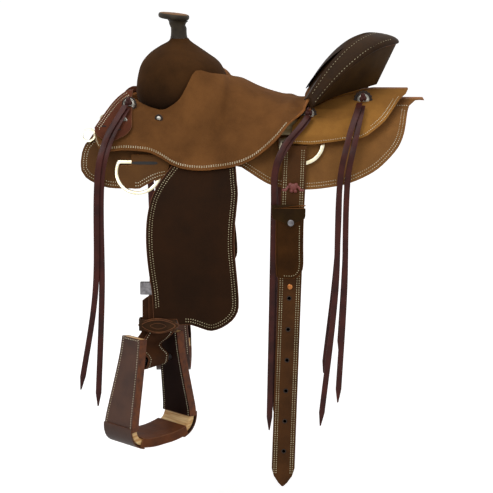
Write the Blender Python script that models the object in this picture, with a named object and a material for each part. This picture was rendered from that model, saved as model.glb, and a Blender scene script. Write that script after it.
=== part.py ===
# A western roping saddle, as an assembly of its separate pieces.
# Metres, +Z up. The horse faces -X, so the horn is at -X and the cantle at +X.
# The near (left) side is -Y.
# The origin lies on the centre plane, inside the arch that the horse's back fills.

import bpy
import bmesh
import math
from mathutils import Vector

# Driving dimensions, in metres
RIDGE_Z = 0.096          # height of the skirts' ridge over the horse's spine
FLANK_Z = 0.000          # below this height the skirts lie in a flat slope
RIDGE_SLOPE = 2.5        # sideways run for each metre of drop, at the ridge
FLANK_SLOPE = 0.51       # the same, on the flat slope
FLEECE_THICK = 0.015
SKIRT_THICK = 0.006
BAR_INNER = 0.0068
BAR_THICK = 0.0105
DEE_THICK = 0.0038
DEE_WIDTH = 0.0072
JOCKEY_THICK = 0.0045
SEAT_THICK = 0.005
FENDER_INNER = 0.0155
FENDER_THICK = 0.004
BILLET_WIDTH = 0.050
BILLET_THICK = 0.0038
STRING_WIDTH = 0.0125
STRING_THICK = 0.003
GAP = 0.0004             # clearance between neighbouring pieces
HORN_TOP = Vector((-0.158, 0.0, 0.2735))
HORN_CAP_R = 0.034
HORN_NECK_R = 0.0175
HORN_TILT = math.radians(8.5)
CANTLE_HALF_W = 0.130
CANTLE_END = (0.124, 0.083)      # x and z of the cantle's two ends
CANTLE_TOP = (0.277, 0.232)      # x and z of its middle
STIRRUP_Y = 0.279
BOLT_Z = -0.428
BOLT_R = 0.006
TREAD_Z = -0.584
NEAR = -1
OFF = 1
SIDE_NAMES = {NEAR: "near", OFF: "off"}
OFF_FORWARD = 0.034              # the off fender and stirrup hang this much further forward
# The stirrups hang turned outward, each by its own strap's twist
STIRRUP_X = {NEAR: -0.183, OFF: -0.160}
STIRRUP_TWIST = {NEAR: math.radians(52), OFF: math.radians(86)}
STIRRUP_LEAN = {NEAR: 0.05, OFF: 0.0}
# Where the fenders and the billets swing: x straight over their weight, and z
FENDER_PIVOT_X = {NEAR: -0.1614, OFF: -0.1459}
FENDER_PIVOT_Z = -0.012
BILLET_PIVOT_X = {NEAR: 0.1009, OFF: 0.0956}
BILLET_PIVOT_Z = -0.008

for old in list(bpy.data.objects):
    bpy.data.objects.remove(old, do_unlink=True)


def finish_material(name, colour, roughness, metallic=0.0):
    mat = bpy.data.materials.new(name)
    mat.use_nodes = True
    shader = mat.node_tree.nodes["Principled BSDF"]
    shader.inputs["Base Color"].default_value = (*colour, 1.0)
    shader.inputs["Roughness"].default_value = roughness
    shader.inputs["Metallic"].default_value = metallic
    mat.diffuse_color = (*colour, 1.0)
    return mat


ROUGHOUT = finish_material("roughout_leather", (0.150, 0.066, 0.024), 0.85)
DARK_LEATHER = finish_material("dark_leather", (0.045, 0.022, 0.013), 0.60)
STRAP_LEATHER = finish_material("strap_leather", (0.080, 0.034, 0.018), 0.55)
LATIGO = finish_material("latigo_leather", (0.095, 0.020, 0.018), 0.45)
COVER_LEATHER = finish_material("cover_leather", (0.070, 0.030, 0.018), 0.45)
TREAD_LEATHER = finish_material("tread_leather", (0.075, 0.022, 0.013), 0.50)
FLEECE = finish_material("sheepskin", (0.640, 0.560, 0.430), 0.95)
RAWHIDE = finish_material("rawhide_over_wood", (0.560, 0.430, 0.260), 0.60)
PALE_WOOD = finish_material("laminated_wood", (0.600, 0.380, 0.160), 0.45)
HORN_WRAP = finish_material("horn_wrap", (0.030, 0.026, 0.026), 0.50)
NICKEL = finish_material("nickel", (0.800, 0.760, 0.640), 0.25, 1.0)
STEEL = finish_material("steel", (0.560, 0.560, 0.560), 0.30, 1.0)
SILVER = finish_material("engraved_silver", (0.700, 0.690, 0.650), 0.30, 1.0)


# The shape that all the leather lies on

def slope_at(z):
    """Sideways run for each metre of drop at height z."""
    if z >= RIDGE_Z:
        return RIDGE_SLOPE
    if z <= FLANK_Z:
        return FLANK_SLOPE
    part = (RIDGE_Z - z) / (RIDGE_Z - FLANK_Z)
    return RIDGE_SLOPE + (FLANK_SLOPE - RIDGE_SLOPE) * part


def flank(z):
    """Distance from the centre plane to the skirts' underside at height z."""
    if z >= RIDGE_Z:
        return -RIDGE_SLOPE * (z - RIDGE_Z)
    drop = RIDGE_Z - max(z, FLANK_Z)
    run = drop * (RIDGE_SLOPE + slope_at(max(z, FLANK_Z))) / 2
    return run + FLANK_SLOPE * max(0.0, FLANK_Z - z)


def reach(z, offset):
    """The same for a surface that lies offset outside it, square to the leather."""
    return flank(z) + offset * math.hypot(1.0, slope_at(z))


def ridge_z(offset):
    """Height at which that surface comes to 1 mm from the centre plane."""
    return RIDGE_Z + (offset * math.hypot(1.0, RIDGE_SLOPE) - 0.001) / RIDGE_SLOPE


def on_flank(x, z, offset):
    return Vector((x, -reach(z, offset), z))


def eased_drop(z, offset, bend_z, hang_z, end_slope):
    """A piece that follows the slope to bend_z and hangs nearly upright below hang_z."""
    if z >= bend_z:
        return reach(z, offset)
    depth = bend_z - hang_z
    inside = min(bend_z - z, depth)
    first = slope_at(bend_z)
    middle = first + (end_slope - first) * inside / depth
    return reach(bend_z, offset) + inside * (first + middle) / 2 + end_slope * max(0.0, hang_z - z)


def on_fender(x, z, offset):
    return Vector((x, -eased_drop(z, offset, -0.080, -0.275, 0.09), z))


def on_strap(x, z, offset):
    return Vector((x, -eased_drop(z, offset, -0.035, -0.110, 0.0), z))


# Outlines, drawn in the side view as (x, z) points; a third value marks a corner

def outline(points, step):
    """A closed line through the points: smooth, but broken at the corners."""
    count = len(points)
    spots = [Vector(p[:2]) for p in points]
    corner = [len(p) > 2 for p in points]
    line = []
    for i in range(count):
        a, b = spots[i], spots[(i + 1) % count]
        before, after = spots[i - 1], spots[(i + 2) % count]
        leave = (b - a) if corner[i] else (b - before) / 2
        arrive = (b - a) if corner[(i + 1) % count] else (after - a) / 2
        straight = corner[i] and corner[(i + 1) % count]
        pieces = 1 if straight else max(1, round((b - a).length / step))
        for k in range(pieces):
            t = k / pieces
            line.append(a * (2 * t**3 - 3 * t**2 + 1) + leave * (t**3 - 2 * t**2 + t)
                        + b * (3 * t**2 - 2 * t**3) + arrive * (t**3 - t**2))
    return line


def inset(line, distance):
    """The same line drawn in by a distance."""
    area = sum(a.x * b.y - b.x * a.y for a, b in zip(line, line[1:] + line[:1]))
    turn = 1 if area > 0 else -1
    drawn = []
    for i, spot in enumerate(line):
        along = (line[(i + 1) % len(line)] - line[i - 1]).normalized()
        drawn.append(spot + Vector((-along.y, along.x)) * distance * turn)
    return drawn


def circle(x, z, radius, count, start=0.0, stretch=1.0):
    steps = [start + 2 * math.pi * k / count for k in range(count)]
    return [Vector((x + radius * math.cos(a), z + radius * stretch * math.sin(a))) for a in steps]


# Solids

joint_frames = {}


def off_shift(parent):
    """The off fender and stirrup hang a little further forward than the near ones."""
    return -OFF_FORWARD if parent and parent.startswith(("fender", "stirrup")) else 0.0


def joint_frame(name, side, spot):
    """An empty on a joint's axis, which carries the pieces that move; spot is on the near side."""
    frame = bpy.data.objects.new(name, None)
    frame.location = (spot[0], spot[1], spot[2])
    if side == OFF:
        frame.location = (spot[0] + off_shift(name), -spot[1], spot[2])
    frame.empty_display_size = 0.03
    bpy.context.collection.objects.link(frame)
    bpy.context.view_layer.update()
    joint_frames[name] = frame
    return frame


def make_node(name, bm, material, side=NEAR, parent=None, cutter=False):
    """Closes the mesh into a named object; the off side is the near side mirrored."""
    if side == OFF:
        for v in bm.verts:
            v.co = (v.co.x + off_shift(parent), -v.co.y, v.co.z)
    bmesh.ops.recalc_face_normals(bm, faces=bm.faces)
    bmesh.ops.triangulate(bm, faces=bm.faces)
    mesh = bpy.data.meshes.new(name)
    bm.to_mesh(mesh)
    bm.free()
    mesh.materials.append(material)
    mesh.shade_smooth()
    mesh.set_sharp_from_angle(angle=math.radians(35))
    node = bpy.data.objects.new(name, mesh)
    bpy.context.collection.objects.link(node)
    if parent and not cutter:
        frame = joint_frames[parent]
        node.parent = frame
        node.matrix_parent_inverse = frame.matrix_world.inverted()
    if cutter:
        node.hide_render = True
        node.display_type = "WIRE"
    return node


def cut(node, cutter, operation="DIFFERENCE"):
    change = node.modifiers.new(cutter.name, "BOOLEAN")
    change.operation = operation
    change.object = cutter
    change.solver = "EXACT"


def thicken(bm, place, inner, thick):
    """Turns a flat drawing into a solid: each point is placed at two offsets."""
    grown = bmesh.ops.extrude_face_region(bm, geom=bm.faces[:], use_keep_orig=True)
    outer = {v for v in grown["geom"] if isinstance(v, bmesh.types.BMVert)}
    for v in bm.verts:
        offset = inner(v.co.x, v.co.z) if callable(inner) else inner
        v.co = place(v.co.x, v.co.z, offset + (thick if v in outer else 0.0))


def flat_face(line, hole=None):
    """A flat face in the side view, or a flat ring round a hole."""
    bm = bmesh.new()
    rim = [bm.verts.new((p.x, 0, p.y)) for p in line]
    if hole is None:
        bm.faces.new(rim)
    else:
        inside = [bm.verts.new((p.x, 0, p.y)) for p in hole]
        for i in range(len(rim)):
            j = (i + 1) % len(rim)
            bm.faces.new((rim[i], rim[j], inside[j], inside[i]))
    return bm


def slice_levels(bm, levels):
    for level in levels:
        geometry = bm.verts[:] + bm.edges[:] + bm.faces[:]
        bmesh.ops.bisect_plane(bm, geom=geometry, plane_co=(0, 0, level), plane_no=(0, 0, 1), dist=1e-6)


CURVE_LEVELS = [RIDGE_Z - k * (RIDGE_Z - FLANK_Z) / 6 for k in range(7)]
HANG_LEVELS = [-0.080, -0.12, -0.16, -0.20, -0.24, -0.275]
STRING_LEVELS = CURVE_LEVELS[1:-1] + [0.012, 0.003, -0.006, -0.014, -0.022, -0.030]


def panel(name, line, inner, thick, material, side=NEAR, place=on_flank, levels=CURVE_LEVELS,
          parent=None, hole=None, cutter=False):
    bm = flat_face(line, hole)
    slice_levels(bm, levels)
    thicken(bm, place, inner, thick)
    return make_node(name, bm, material, side, parent, cutter)


def loft(rings, closed_ends=True, closed_rings=True):
    """Skins a list of rings of points."""
    bm = bmesh.new()
    rows = [[bm.verts.new(p) for p in ring] for ring in rings]
    count = len(rows[0])
    last = count if closed_rings else count - 1
    for low, high in zip(rows, rows[1:]):
        for i in range(last):
            j = (i + 1) % count
            bm.faces.new((low[i], low[j], high[j], high[i]))
    if closed_ends:
        bm.faces.new(rows[0])
        bm.faces.new(rows[-1])
    return bm


def sleeve(outer, inner):
    """A tube between two lists of rings, open at both ends."""
    bm = bmesh.new()
    skins = [[[bm.verts.new(p) for p in ring] for ring in rings] for rings in (outer, inner)]
    count = len(outer[0])
    for rows in skins:
        for low, high in zip(rows, rows[1:]):
            for i in range(count):
                j = (i + 1) % count
                bm.faces.new((low[i], low[j], high[j], high[i]))
    for end in (0, -1):
        for i in range(count):
            j = (i + 1) % count
            bm.faces.new((skins[0][end][i], skins[0][end][j], skins[1][end][j], skins[1][end][i]))
    return bm


def thick_sheet(bm, low, high, facing):
    """Thickens a curved sheet along its own normals, between two offsets."""
    bmesh.ops.recalc_face_normals(bm, faces=bm.faces)
    bm.normal_update()
    total = sum((f.normal for f in bm.faces), Vector())
    turn = 1 if total.dot(Vector(facing)) > 0 else -1
    layer = bm.verts.layers.float_vector.new("outward")
    for v in bm.verts:
        v[layer] = v.normal * turn
    grown = bmesh.ops.extrude_face_region(bm, geom=bm.faces[:], use_keep_orig=True)
    outer = {v for v in grown["geom"] if isinstance(v, bmesh.types.BMVert)}
    for v in bm.verts:
        v.co = v.co + Vector(v[layer]) * (high if v in outer else low)


def ribbon(path, thick):
    """A flat strap along a path of (distance from the centre plane, height, left x, right x)."""
    rings = []
    for i, (y, z, left, right) in enumerate(path):
        before, after = path[max(i - 1, 0)], path[min(i + 1, len(path) - 1)]
        along = Vector((0, before[0] - after[0], after[1] - before[1])).normalized()
        square = Vector((0, along.z, -along.y)) * thick
        corners = [Vector((left, -y, z)), Vector((right, -y, z))]
        rings.append(corners + [spot + square for spot in reversed(corners)])
    return loft(rings)


def rod(start, end, radius, count=12, flare=1.0):
    """A round bar between two points; flare widens its far end."""
    start, end = Vector(start), Vector(end)
    turn = (end - start).to_track_quat("Z", "Y")
    rings = []
    for spot, r in ((start, radius), (end, radius * flare)):
        angles = [2 * math.pi * k / count for k in range(count)]
        rings.append([spot + turn @ Vector((r * math.cos(a), r * math.sin(a), 0)) for a in angles])
    return loft(rings)


# The swell, as level rings: height, front x, rear x, half width
SWELL = [(0.068, -0.214, -0.090, 0.088), (0.078, -0.231, -0.068, 0.101), (0.095, -0.2395, -0.054, 0.112),
         (0.120, -0.2405, -0.046, 0.119), (0.145, -0.237, -0.047, 0.118), (0.170, -0.229, -0.060, 0.108),
         (0.190, -0.213, -0.086, 0.086), (0.205, -0.192, -0.107, 0.056), (0.216, -0.172, -0.1215, 0.029),
         (0.223, -0.1665, -0.1275, 0.0205)]
SWELL_POWER = 2 / 2.3
SWELL_COVER = 0.004
GULLET_HALF_W = 0.060
GULLET_TOP = 0.112


def swell_point(z, angle, grow=0.0):
    """A point on the swell; angle 0 is its rear, 90 the near side, 180 the front."""
    for low, high in zip(SWELL, SWELL[1:]):
        if z <= high[0] or high is SWELL[-1]:
            break
    t = (z - low[0]) / (high[0] - low[0])
    front, rear, half = [low[k] + (high[k] - low[k]) * t for k in (1, 2, 3)]
    c, s = math.cos(math.radians(angle)), math.sin(math.radians(angle))
    long = (rear - front) / 2 + grow
    x = (rear + front) / 2 + long * math.copysign(abs(c) ** SWELL_POWER, c)
    y = -(half + grow) * math.copysign(abs(s) ** SWELL_POWER, s)
    return Vector((x, y, z))


def swell_ring(z, grow, count=20):
    return [swell_point(z, 360 * k / count, grow) for k in range(count)]


# The cantle's rim: angle -90 is its near end, 0 the middle, 90 the off end

def rim_point(angle):
    across = abs(math.sin(math.radians(angle)))
    x = CANTLE_END[0] + (CANTLE_TOP[0] - CANTLE_END[0]) * max(0.0, 1 - across**1.2) ** 0.87
    z = CANTLE_END[1] + (CANTLE_TOP[1] - CANTLE_END[1]) * max(0.0, 1 - across**2.2) ** 0.75
    return Vector((x, CANTLE_HALF_W * math.sin(math.radians(angle)), z))


def rim_outward(angle):
    ahead = rim_point(min(angle + 2, 90)) - rim_point(max(angle - 2, -90))
    return Vector((ahead.y, -ahead.x, 0)).normalized()


def roll_frame(angle):
    """Width of the roll, and the directions along its top and square to it."""
    middle = math.cos(math.radians(angle)) ** 2
    width = 0.023 + 0.031 * middle
    dip = math.radians(50 - 38 * middle)
    out = rim_outward(angle)
    along = out * math.cos(dip) - Vector((0, 0, math.sin(dip)))
    square = out * math.sin(dip) + Vector((0, 0, math.cos(dip)))
    return width, along, square


def seat_edge(angle):
    """Where the seat's leather ends, just under the roll."""
    return rim_point(angle) - rim_outward(angle) * 0.003 - Vector((0, 0, 0.004))


RIM_ANGLES = [-73, -70, -65, -58, -49, -38, -26, -12, 0, 12, 26, 38, 49, 58, 65, 70, 73]

# Where the cantle's back meets the rear jockeys, for the near half: x, y, z
CANTLE_FOOT = [(0.132, -0.111, 0.078), (0.137, -0.103, 0.083), (0.146, -0.092, 0.087), (0.160, -0.079, 0.094),
               (0.180, -0.063, 0.101), (0.207, -0.046, 0.108), (0.235, -0.031, 0.114), (0.262, -0.015, 0.120),
               (0.281, 0.0, 0.124)]


def foot_point(index):
    if index < len(CANTLE_FOOT):
        return Vector(CANTLE_FOOT[index])
    x, y, z = CANTLE_FOOT[2 * (len(CANTLE_FOOT) - 1) - index]
    return Vector((x, -y, z))


def back_rows(start, end):
    """Rows of points on the cantle's back, from the foot to the underside of the roll."""
    rows = []
    for index, angle in enumerate(RIM_ANGLES):
        width, along, square = roll_frame(angle)
        top = rim_point(angle) + along * 0.88 * width - square * 0.0125
        foot = foot_point(index)
        lean = (top - foot)
        rows.append([foot + lean * (start + (end - start) * k / 4) for k in range(5)])
    return rows


# The seat: where its leather starts on the centre line or round the swell, and where it ends.
# The first list is the wing under the swell: x, height of its inner edge, height of its lower edge.
WING = [(-0.314, 0.042, 0.031), (-0.303, 0.064, 0.0035), (-0.279, 0.082, -0.001), (-0.256, 0.096, 0.001),
        (-0.240, 0.098, 0.001), (-0.220, 0.089, 0.0), (-0.196, 0.081, -0.003)]
# Round the swell: height and angle on it, then x and height of the lower edge
ROUND_SWELL = [(0.079, 103, -0.173, -0.012), (0.088, 93, -0.150, -0.025), (0.105, 86, -0.132, -0.032),
               (0.132, 80, -0.115, -0.0355), (0.163, 67, -0.097, -0.037), (0.156, 45, -0.078, -0.037),
               (0.150, 22, -0.060, -0.035), (0.143, 0, -0.034, -0.032)]
# Behind the swell: x and height on the centre line, then x and height of the lower edge
OPEN_SEAT = [(-0.010, 0.1365, -0.006, -0.026), (0.022, 0.121, 0.022, -0.014), (0.050, 0.110, 0.048, 0.007),
             (0.080, 0.101, 0.073, 0.033), (0.101, 0.0975, 0.094, 0.058)]
# Up the cantle: x and height on the centre line, then the angle on the rim
UP_CANTLE = [(0.117, 0.0965, -88), (0.136, 0.097, -80), (0.157, 0.101, -70), (0.181, 0.109, -59),
             (0.204, 0.122, -47), (0.228, 0.141, -35), (0.246, 0.167, -23), (0.260, 0.196, -11),
             (0.2705, 0.2215, -4)]
SEAT_LIFT = 0.021        # the jockeys' underside above the skirts' underside
REAR_LIFT = 0.0405       # the same at the seat's rear corners, over the rear jockeys


def seat_lift(x):
    return SEAT_LIFT + (REAR_LIFT - SEAT_LIFT) * min(1.0, max(0.0, (x - 0.03) / 0.05))


def seat_ends():
    """Start point, end point, start direction and end direction of each section of the seat."""
    ends = []
    for x, high, low in WING:
        a, b = on_flank(x, high, SEAT_LIFT + SEAT_THICK), on_flank(x, low, SEAT_LIFT + SEAT_THICK)
        ends.append((a, b, Vector((0, -slope_at(high), -1)), Vector((0, -slope_at(low), -1))))
    steep = Vector((0, -0.30, -1))
    for index, (z, angle, x, low) in enumerate(ROUND_SWELL):
        a = swell_point(z, angle, SEAT_THICK + 0.0030)
        b = on_flank(x, low, SEAT_LIFT + SEAT_THICK)
        side = math.sin(math.radians(angle)) ** 2
        level = Vector((0.15, -1, -0.06))
        ends.append((a, b, steep * side + level * (1 - side), Vector((0, -FLANK_SLOPE, -1))))
    for x, high, edge_x, low in OPEN_SEAT:
        b = on_flank(edge_x, low, seat_lift(edge_x) + SEAT_THICK)
        ends.append((Vector((x, 0, high)), b, Vector((0, -1, 0)), Vector((0, -slope_at(low), -1))))
    for x, high, angle in UP_CANTLE:
        b = seat_edge(angle)
        climb = Vector((0.25, -1, 2.2)) * (1 + angle / 90) + Vector((0, -1, 0.15)) * (-angle / 90)
        ends.append((Vector((x, 0, high)), b, Vector((0, -1, 0)), climb))
    return ends


def clear_of_bars(spot):
    """Moves a point of the seat out where it would sink into the bars."""
    tilt = math.hypot(1.0, slope_at(spot.z))
    lift = (-spot.y - flank(spot.z)) / tilt
    short = SEAT_LIFT + SEAT_THICK + 0.0008 - lift
    if short <= 0 or spot.y > -0.085:
        return spot
    return spot + Vector((0, -1, slope_at(spot.z))) * (short / tilt)


def seat_rows(count, start=0.0, end=1.0):
    rows = []
    for a, b, leave, arrive in seat_ends():
        size = (b - a).length * 0.44
        c = a + leave.normalized() * size
        d = b - arrive.normalized() * size
        row = []
        for k in range(count):
            t = start + (end - start) * k / (count - 1)
            spot = a * (1 - t)**3 + c * 3 * t * (1 - t)**2 + d * 3 * t * t * (1 - t) + b * t**3
            row.append(clear_of_bars(spot))
        rows.append(row)
    return rows


def both_halves(rows):
    """The near half of a sheet and its mirror image, joined on the centre line."""
    bm = bmesh.new()
    for turn in (1, -1):
        grid = [[bm.verts.new((p.x, p.y * turn, p.z)) for p in row] for row in rows]
        for low, high in zip(grid, grid[1:]):
            for i in range(len(low) - 1):
                corners = (low[i], low[i + 1], high[i + 1], high[i])
                bm.faces.new(corners if turn == 1 else corners[::-1])
    bmesh.ops.remove_doubles(bm, verts=bm.verts, dist=1e-5)
    return bm


# The tree: two bars, the fork with its horn, and the cantle

BAR_LINE = outline([(-0.285, 0.046), (-0.262, 0.062), (-0.190, 0.069), (-0.060, 0.064), (0.080, 0.058),
                    (0.180, 0.064), (0.270, 0.076), (0.298, 0.080), (0.292, 0.068), (0.262, 0.050),
                    (0.200, 0.034), (0.100, 0.032), (-0.060, 0.030), (-0.200, 0.028), (-0.270, 0.032)], 0.05)


def make_bars(side):
    panel("tree_bar_" + SIDE_NAMES[side], BAR_LINE, BAR_INNER, BAR_THICK, RAWHIDE, side)
    wide = inset(BAR_LINE, -0.0005)
    return panel("cut_bar_" + SIDE_NAMES[side], wide, BAR_INNER - 0.004, BAR_THICK + 0.0045, RAWHIDE, side,
                 cutter=True)


def gullet_arch(name, half, top):
    """The open way through the fork, over the horse's withers."""
    angles = [math.radians(180 * k / 12) for k in range(13)]
    arch = [(half, 0.03)] + [(half * math.cos(a), 0.065 + (top - 0.065) * math.sin(a)) for a in angles]
    arch.append((-half, 0.03))
    rings = [[Vector((x, y, z)) for y, z in arch] for x in (-0.30, -0.02)]
    return make_node(name, loft(rings), RAWHIDE, cutter=True)


def make_fork(bar_cutters):
    heights = [ring[0] for ring in SWELL]
    wood_heights = [ring[0] for ring in SWELL[:-2]] + [0.2105]
    wood = loft([swell_ring(z, -SWELL_COVER - GAP) for z in wood_heights])
    fork = make_node("tree_fork", wood, RAWHIDE)
    outer = [swell_ring(z, 0.0) for z in heights]
    inner = [swell_ring(z, -SWELL_COVER) for z in heights]
    cover = make_node("fork_cover", sleeve(outer, inner), ROUGHOUT)
    gullet = gullet_arch("cut_gullet", GULLET_HALF_W, GULLET_TOP)
    cut(fork, gullet)
    cut(cover, gullet)
    for cutter in bar_cutters:
        cut(fork, cutter)
        cut(cover, cutter)


def turned(spot, lean, profile, count=16):
    """A turned shape about a leaning axis: the profile is (radius, height) points."""
    c, s = math.cos(lean), math.sin(lean)
    rings = []
    for radius, height in profile:
        angles = [2 * math.pi * k / count for k in range(count)]
        flat = [(radius * math.cos(a), radius * math.sin(a)) for a in angles]
        rings.append([spot + Vector((x * c + height * s, y, height * c - x * s)) for x, y in flat])
    return rings


def make_horn():
    """A steel core that stands on the fork, a wrapped neck, and a leather-covered cap."""
    foot = Vector((-0.1480, 0, 0.2109))
    shoulder = Vector((-0.1505, 0, 0.2575))
    core = turned(foot, 0.0, [(0.0150, 0.0), (0.0125, 0.010), (0.0110, 0.020), (0.0110, 0.036)])
    core += turned(shoulder, HORN_TILT, [(0.0115, 0.0015)])
    core += turned(HORN_TOP, HORN_TILT, [(0.0180, -0.0112), (0.0275, -0.0086), (0.0285, -0.0056),
                                         (0.0265, -0.0046)])
    make_node("horn_core", loft(core), STEEL)
    outer = turned(foot, 0.0, [(0.0190, 0.0128), (HORN_NECK_R, 0.022), (HORN_NECK_R, 0.034)])
    outer += turned(shoulder, HORN_TILT, [(0.0190, -0.0035), (0.0205, -0.0010)])
    inner = turned(foot, 0.0, [(0.0140, 0.0128), (0.0126, 0.022), (0.0128, 0.034)])
    inner += turned(shoulder, HORN_TILT, [(0.0142, -0.0035), (0.0165, -0.0010)])
    make_node("horn_wrap", sleeve(outer, inner), HORN_WRAP)
    cap_profile = [(0.0250, -0.0130), (0.0305, -0.0118), (HORN_CAP_R, -0.0075), (HORN_CAP_R, -0.0035),
                   (0.0315, -0.0005), (0.022, 0.0), (0.001, 0.0), (0.001, -0.0040), (0.0272, -0.0040),
                   (0.0298, -0.0052), (0.0294, -0.0090), (0.0250, -0.0106)]
    rings = turned(HORN_TOP, HORN_TILT, cap_profile)
    bm = loft(rings + rings[:1], closed_ends=False)
    bmesh.ops.remove_doubles(bm, verts=bm.verts, dist=1e-6)
    make_node("horn_cap", bm, DARK_LEATHER)


# The lip's section: distance up from the seat's edge, and height over the seat
LIP = [(0.0005, 0.0010), (-0.0110, 0.0026), (-0.0110, 0.0050), (0.0010, 0.0042)]


def make_cantle(bar_cutters):
    wood = loft(back_rows(0.12, 0.80)[3:-3], closed_ends=False, closed_rings=False)
    thick_sheet(wood, -0.0080, -0.0008, (1, 0, 0))
    tree = make_node("tree_cantle", wood, RAWHIDE)
    back = loft(back_rows(0.02, 0.97), closed_ends=False, closed_rings=False)
    thick_sheet(back, 0.0, 0.0035, (1, 0, 0))
    make_node("cantle_back", back, DARK_LEATHER)
    rings = []
    for angle in RIM_ANGLES:
        width, along, square = roll_frame(angle)
        out = rim_outward(angle)
        side = math.sin(math.radians(angle)) ** 2
        rim = rim_point(angle) + out * (0.0030 + 0.0030 * side)
        section = [(-0.0060, 0.0040), (0.30 * width, 0.0060), (0.65 * width, 0.0055), (0.92 * width, 0.0010),
                   (width, -0.0050), (0.93 * width, -0.0085), (0.55 * width, -0.0085), (0.0070, -0.0040),
                   (0.0020, 0.0010)]
        ring = [rim + along * s + square * t for s, t in section]
        # The lip that lies on the seat, just inside its edge
        slant = math.radians(22 + 46 * (abs(angle) / 79)**1.6)
        climb = out * math.sin(slant) + Vector((0, 0, math.cos(slant)))
        facing = Vector((0, 0, math.sin(slant))) - out * math.cos(slant)
        edge = seat_edge(angle)
        ring += [edge + climb * s + facing * t for s, t in LIP]
        rings.append(ring)
    make_node("cantle_roll", loft(rings), DARK_LEATHER)
    for cutter in bar_cutters:
        cut(tree, cutter)


def make_seat():
    bm = both_halves(seat_rows(9))
    thick_sheet(bm, -SEAT_THICK, 0.0, (0, 0, 1))
    make_node("seat", bm, ROUGHOUT)
    first = len(WING) + len(ROUND_SWELL)
    rows = seat_rows(5, 0.0, 0.40)[first:first + 7]
    bm = both_halves(rows)
    thick_sheet(bm, -0.0105, -SEAT_THICK - 0.0020, (0, 0, 1))
    make_node("ground_seat", bm, STRAP_LEATHER)


# The skirts and what lies on them

SKIRT_LINE = outline([(-0.250, 0.062, 1), (-0.292, 0.054), (-0.316, 0.036), (-0.328, 0.018),
                      (-0.336, 0.009), (-0.342, -0.008), (-0.3435, -0.024), (-0.341, -0.044),
                      (-0.331, -0.057), (-0.311, -0.068), (-0.290, -0.075), (-0.267, -0.078),
                      (-0.214, -0.077), (-0.205, -0.072), (-0.173, -0.057), (-0.120, -0.050),
                      (-0.060, -0.044), (-0.014, -0.032), (0.008, -0.040), (0.033, -0.055),
                      (0.062, -0.069), (0.100, -0.075), (0.136, -0.077), (0.180, -0.073),
                      (0.228, -0.063), (0.275, -0.042), (0.304, -0.019), (0.328, 0.008),
                      (0.341, 0.036), (0.347, 0.062), (0.354, 0.083), (0.368, 0.0925),
                      (0.388, ridge_z(0.0) - 0.003, 1), (0.386, ridge_z(0.0), 1),
                      (0.270, ridge_z(0.0), 1), (0.215, 0.066, 1)], 0.030)

JOCKEY_HEM = 0.0150      # the rear jockeys' underside at the hem
JOCKEY_BAR = 0.0200      # and over the bars
JOCKEY_RIDGE = ridge_z(JOCKEY_BAR) - 0.0004
REAR_JOCKEY_LINE = outline([(0.278, JOCKEY_RIDGE, 1), (0.353, JOCKEY_RIDGE, 1), (0.347, 0.108),
                            (0.334, 0.100), (0.320, 0.084), (0.300, 0.061), (0.275, 0.042),
                            (0.251, 0.028), (0.215, 0.023), (0.179, 0.018), (0.142, 0.014),
                            (0.104, 0.016, 1), (0.104, 0.050, 1), (0.121, 0.066, 1), (0.145, 0.081),
                            (0.159, 0.0875), (0.179, 0.095), (0.206, 0.102), (0.235, 0.108),
                            (0.260, 0.1135)], 0.030)

TAB_LINE = outline([(-0.2445, 0.1135, 1), (-0.256, 0.1130), (-0.268, 0.107), (-0.281, 0.095), (-0.294, 0.077),
                    (-0.304, 0.061), (-0.314, 0.046), (-0.311, 0.037), (-0.298, 0.025), (-0.276, 0.019),
                    (-0.259, 0.026), (-0.244, 0.034), (-0.235, 0.047), (-0.237, 0.066), (-0.2385, 0.080),
                    (-0.2435, 0.096)], 0.014)


FLEECE_TOP_Z = 0.076     # above this the two linings would meet over the spine


def rear_jockey_lift(x, z):
    """Low over the skirt at the hem, higher over the bars."""
    return JOCKEY_HEM + (JOCKEY_BAR - JOCKEY_HEM) * min(1.0, max(0.0, (z - 0.022) / 0.010))


def tab_lift(x, z):
    return SEAT_LIFT + SEAT_THICK + 0.0030


def make_skirt_group(side):
    name = SIDE_NAMES[side]
    panel("skirt_" + name, SKIRT_LINE, 0.0, SKIRT_THICK, ROUGHOUT, side)
    fleece_line = [p for p in inset(SKIRT_LINE, 0.004) if p.y < FLEECE_TOP_Z]
    panel("skirt_lining_" + name, fleece_line, -FLEECE_THICK - 0.001, FLEECE_THICK, FLEECE, side)
    levels = CURVE_LEVELS + [0.108, 0.022, 0.032]
    panel("rear_jockey_" + name, REAR_JOCKEY_LINE, rear_jockey_lift, JOCKEY_THICK, ROUGHOUT, side,
          levels=levels)
    panel("front_tab_" + name, TAB_LINE, tab_lift, 0.0038, ROUGHOUT, side)


def dee_lines(x, z, radius, bar_z, plate_z, count=24):
    """A dee's outer and inner edges: round below, cut straight along its bar."""
    outer = [Vector((p.x, min(p.y, plate_z))) for p in circle(x, z, radius, count, stretch=0.94)]
    inner = [Vector((p.x, min(p.y, bar_z))) for p in circle(x, z, radius - DEE_WIDTH, count, stretch=0.94)]
    return outer, inner


# Middle x and z, and radius; then the heights of the bar's underside and of its top
FRONT_DEE = (-0.219, -0.042, 0.0505, -0.0285, -0.0210)
REAR_DEE = (0.124, 0.018, 0.0490, 0.0185, 0.0255)
BREAST_DEE = (-0.330, 0.027, 0.0160)
BREAST_DEE_WIRE = 0.0042
BREAST_DEE_LIFT = SKIRT_THICK + 0.0012   # room to swing without touching the skirt


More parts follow.
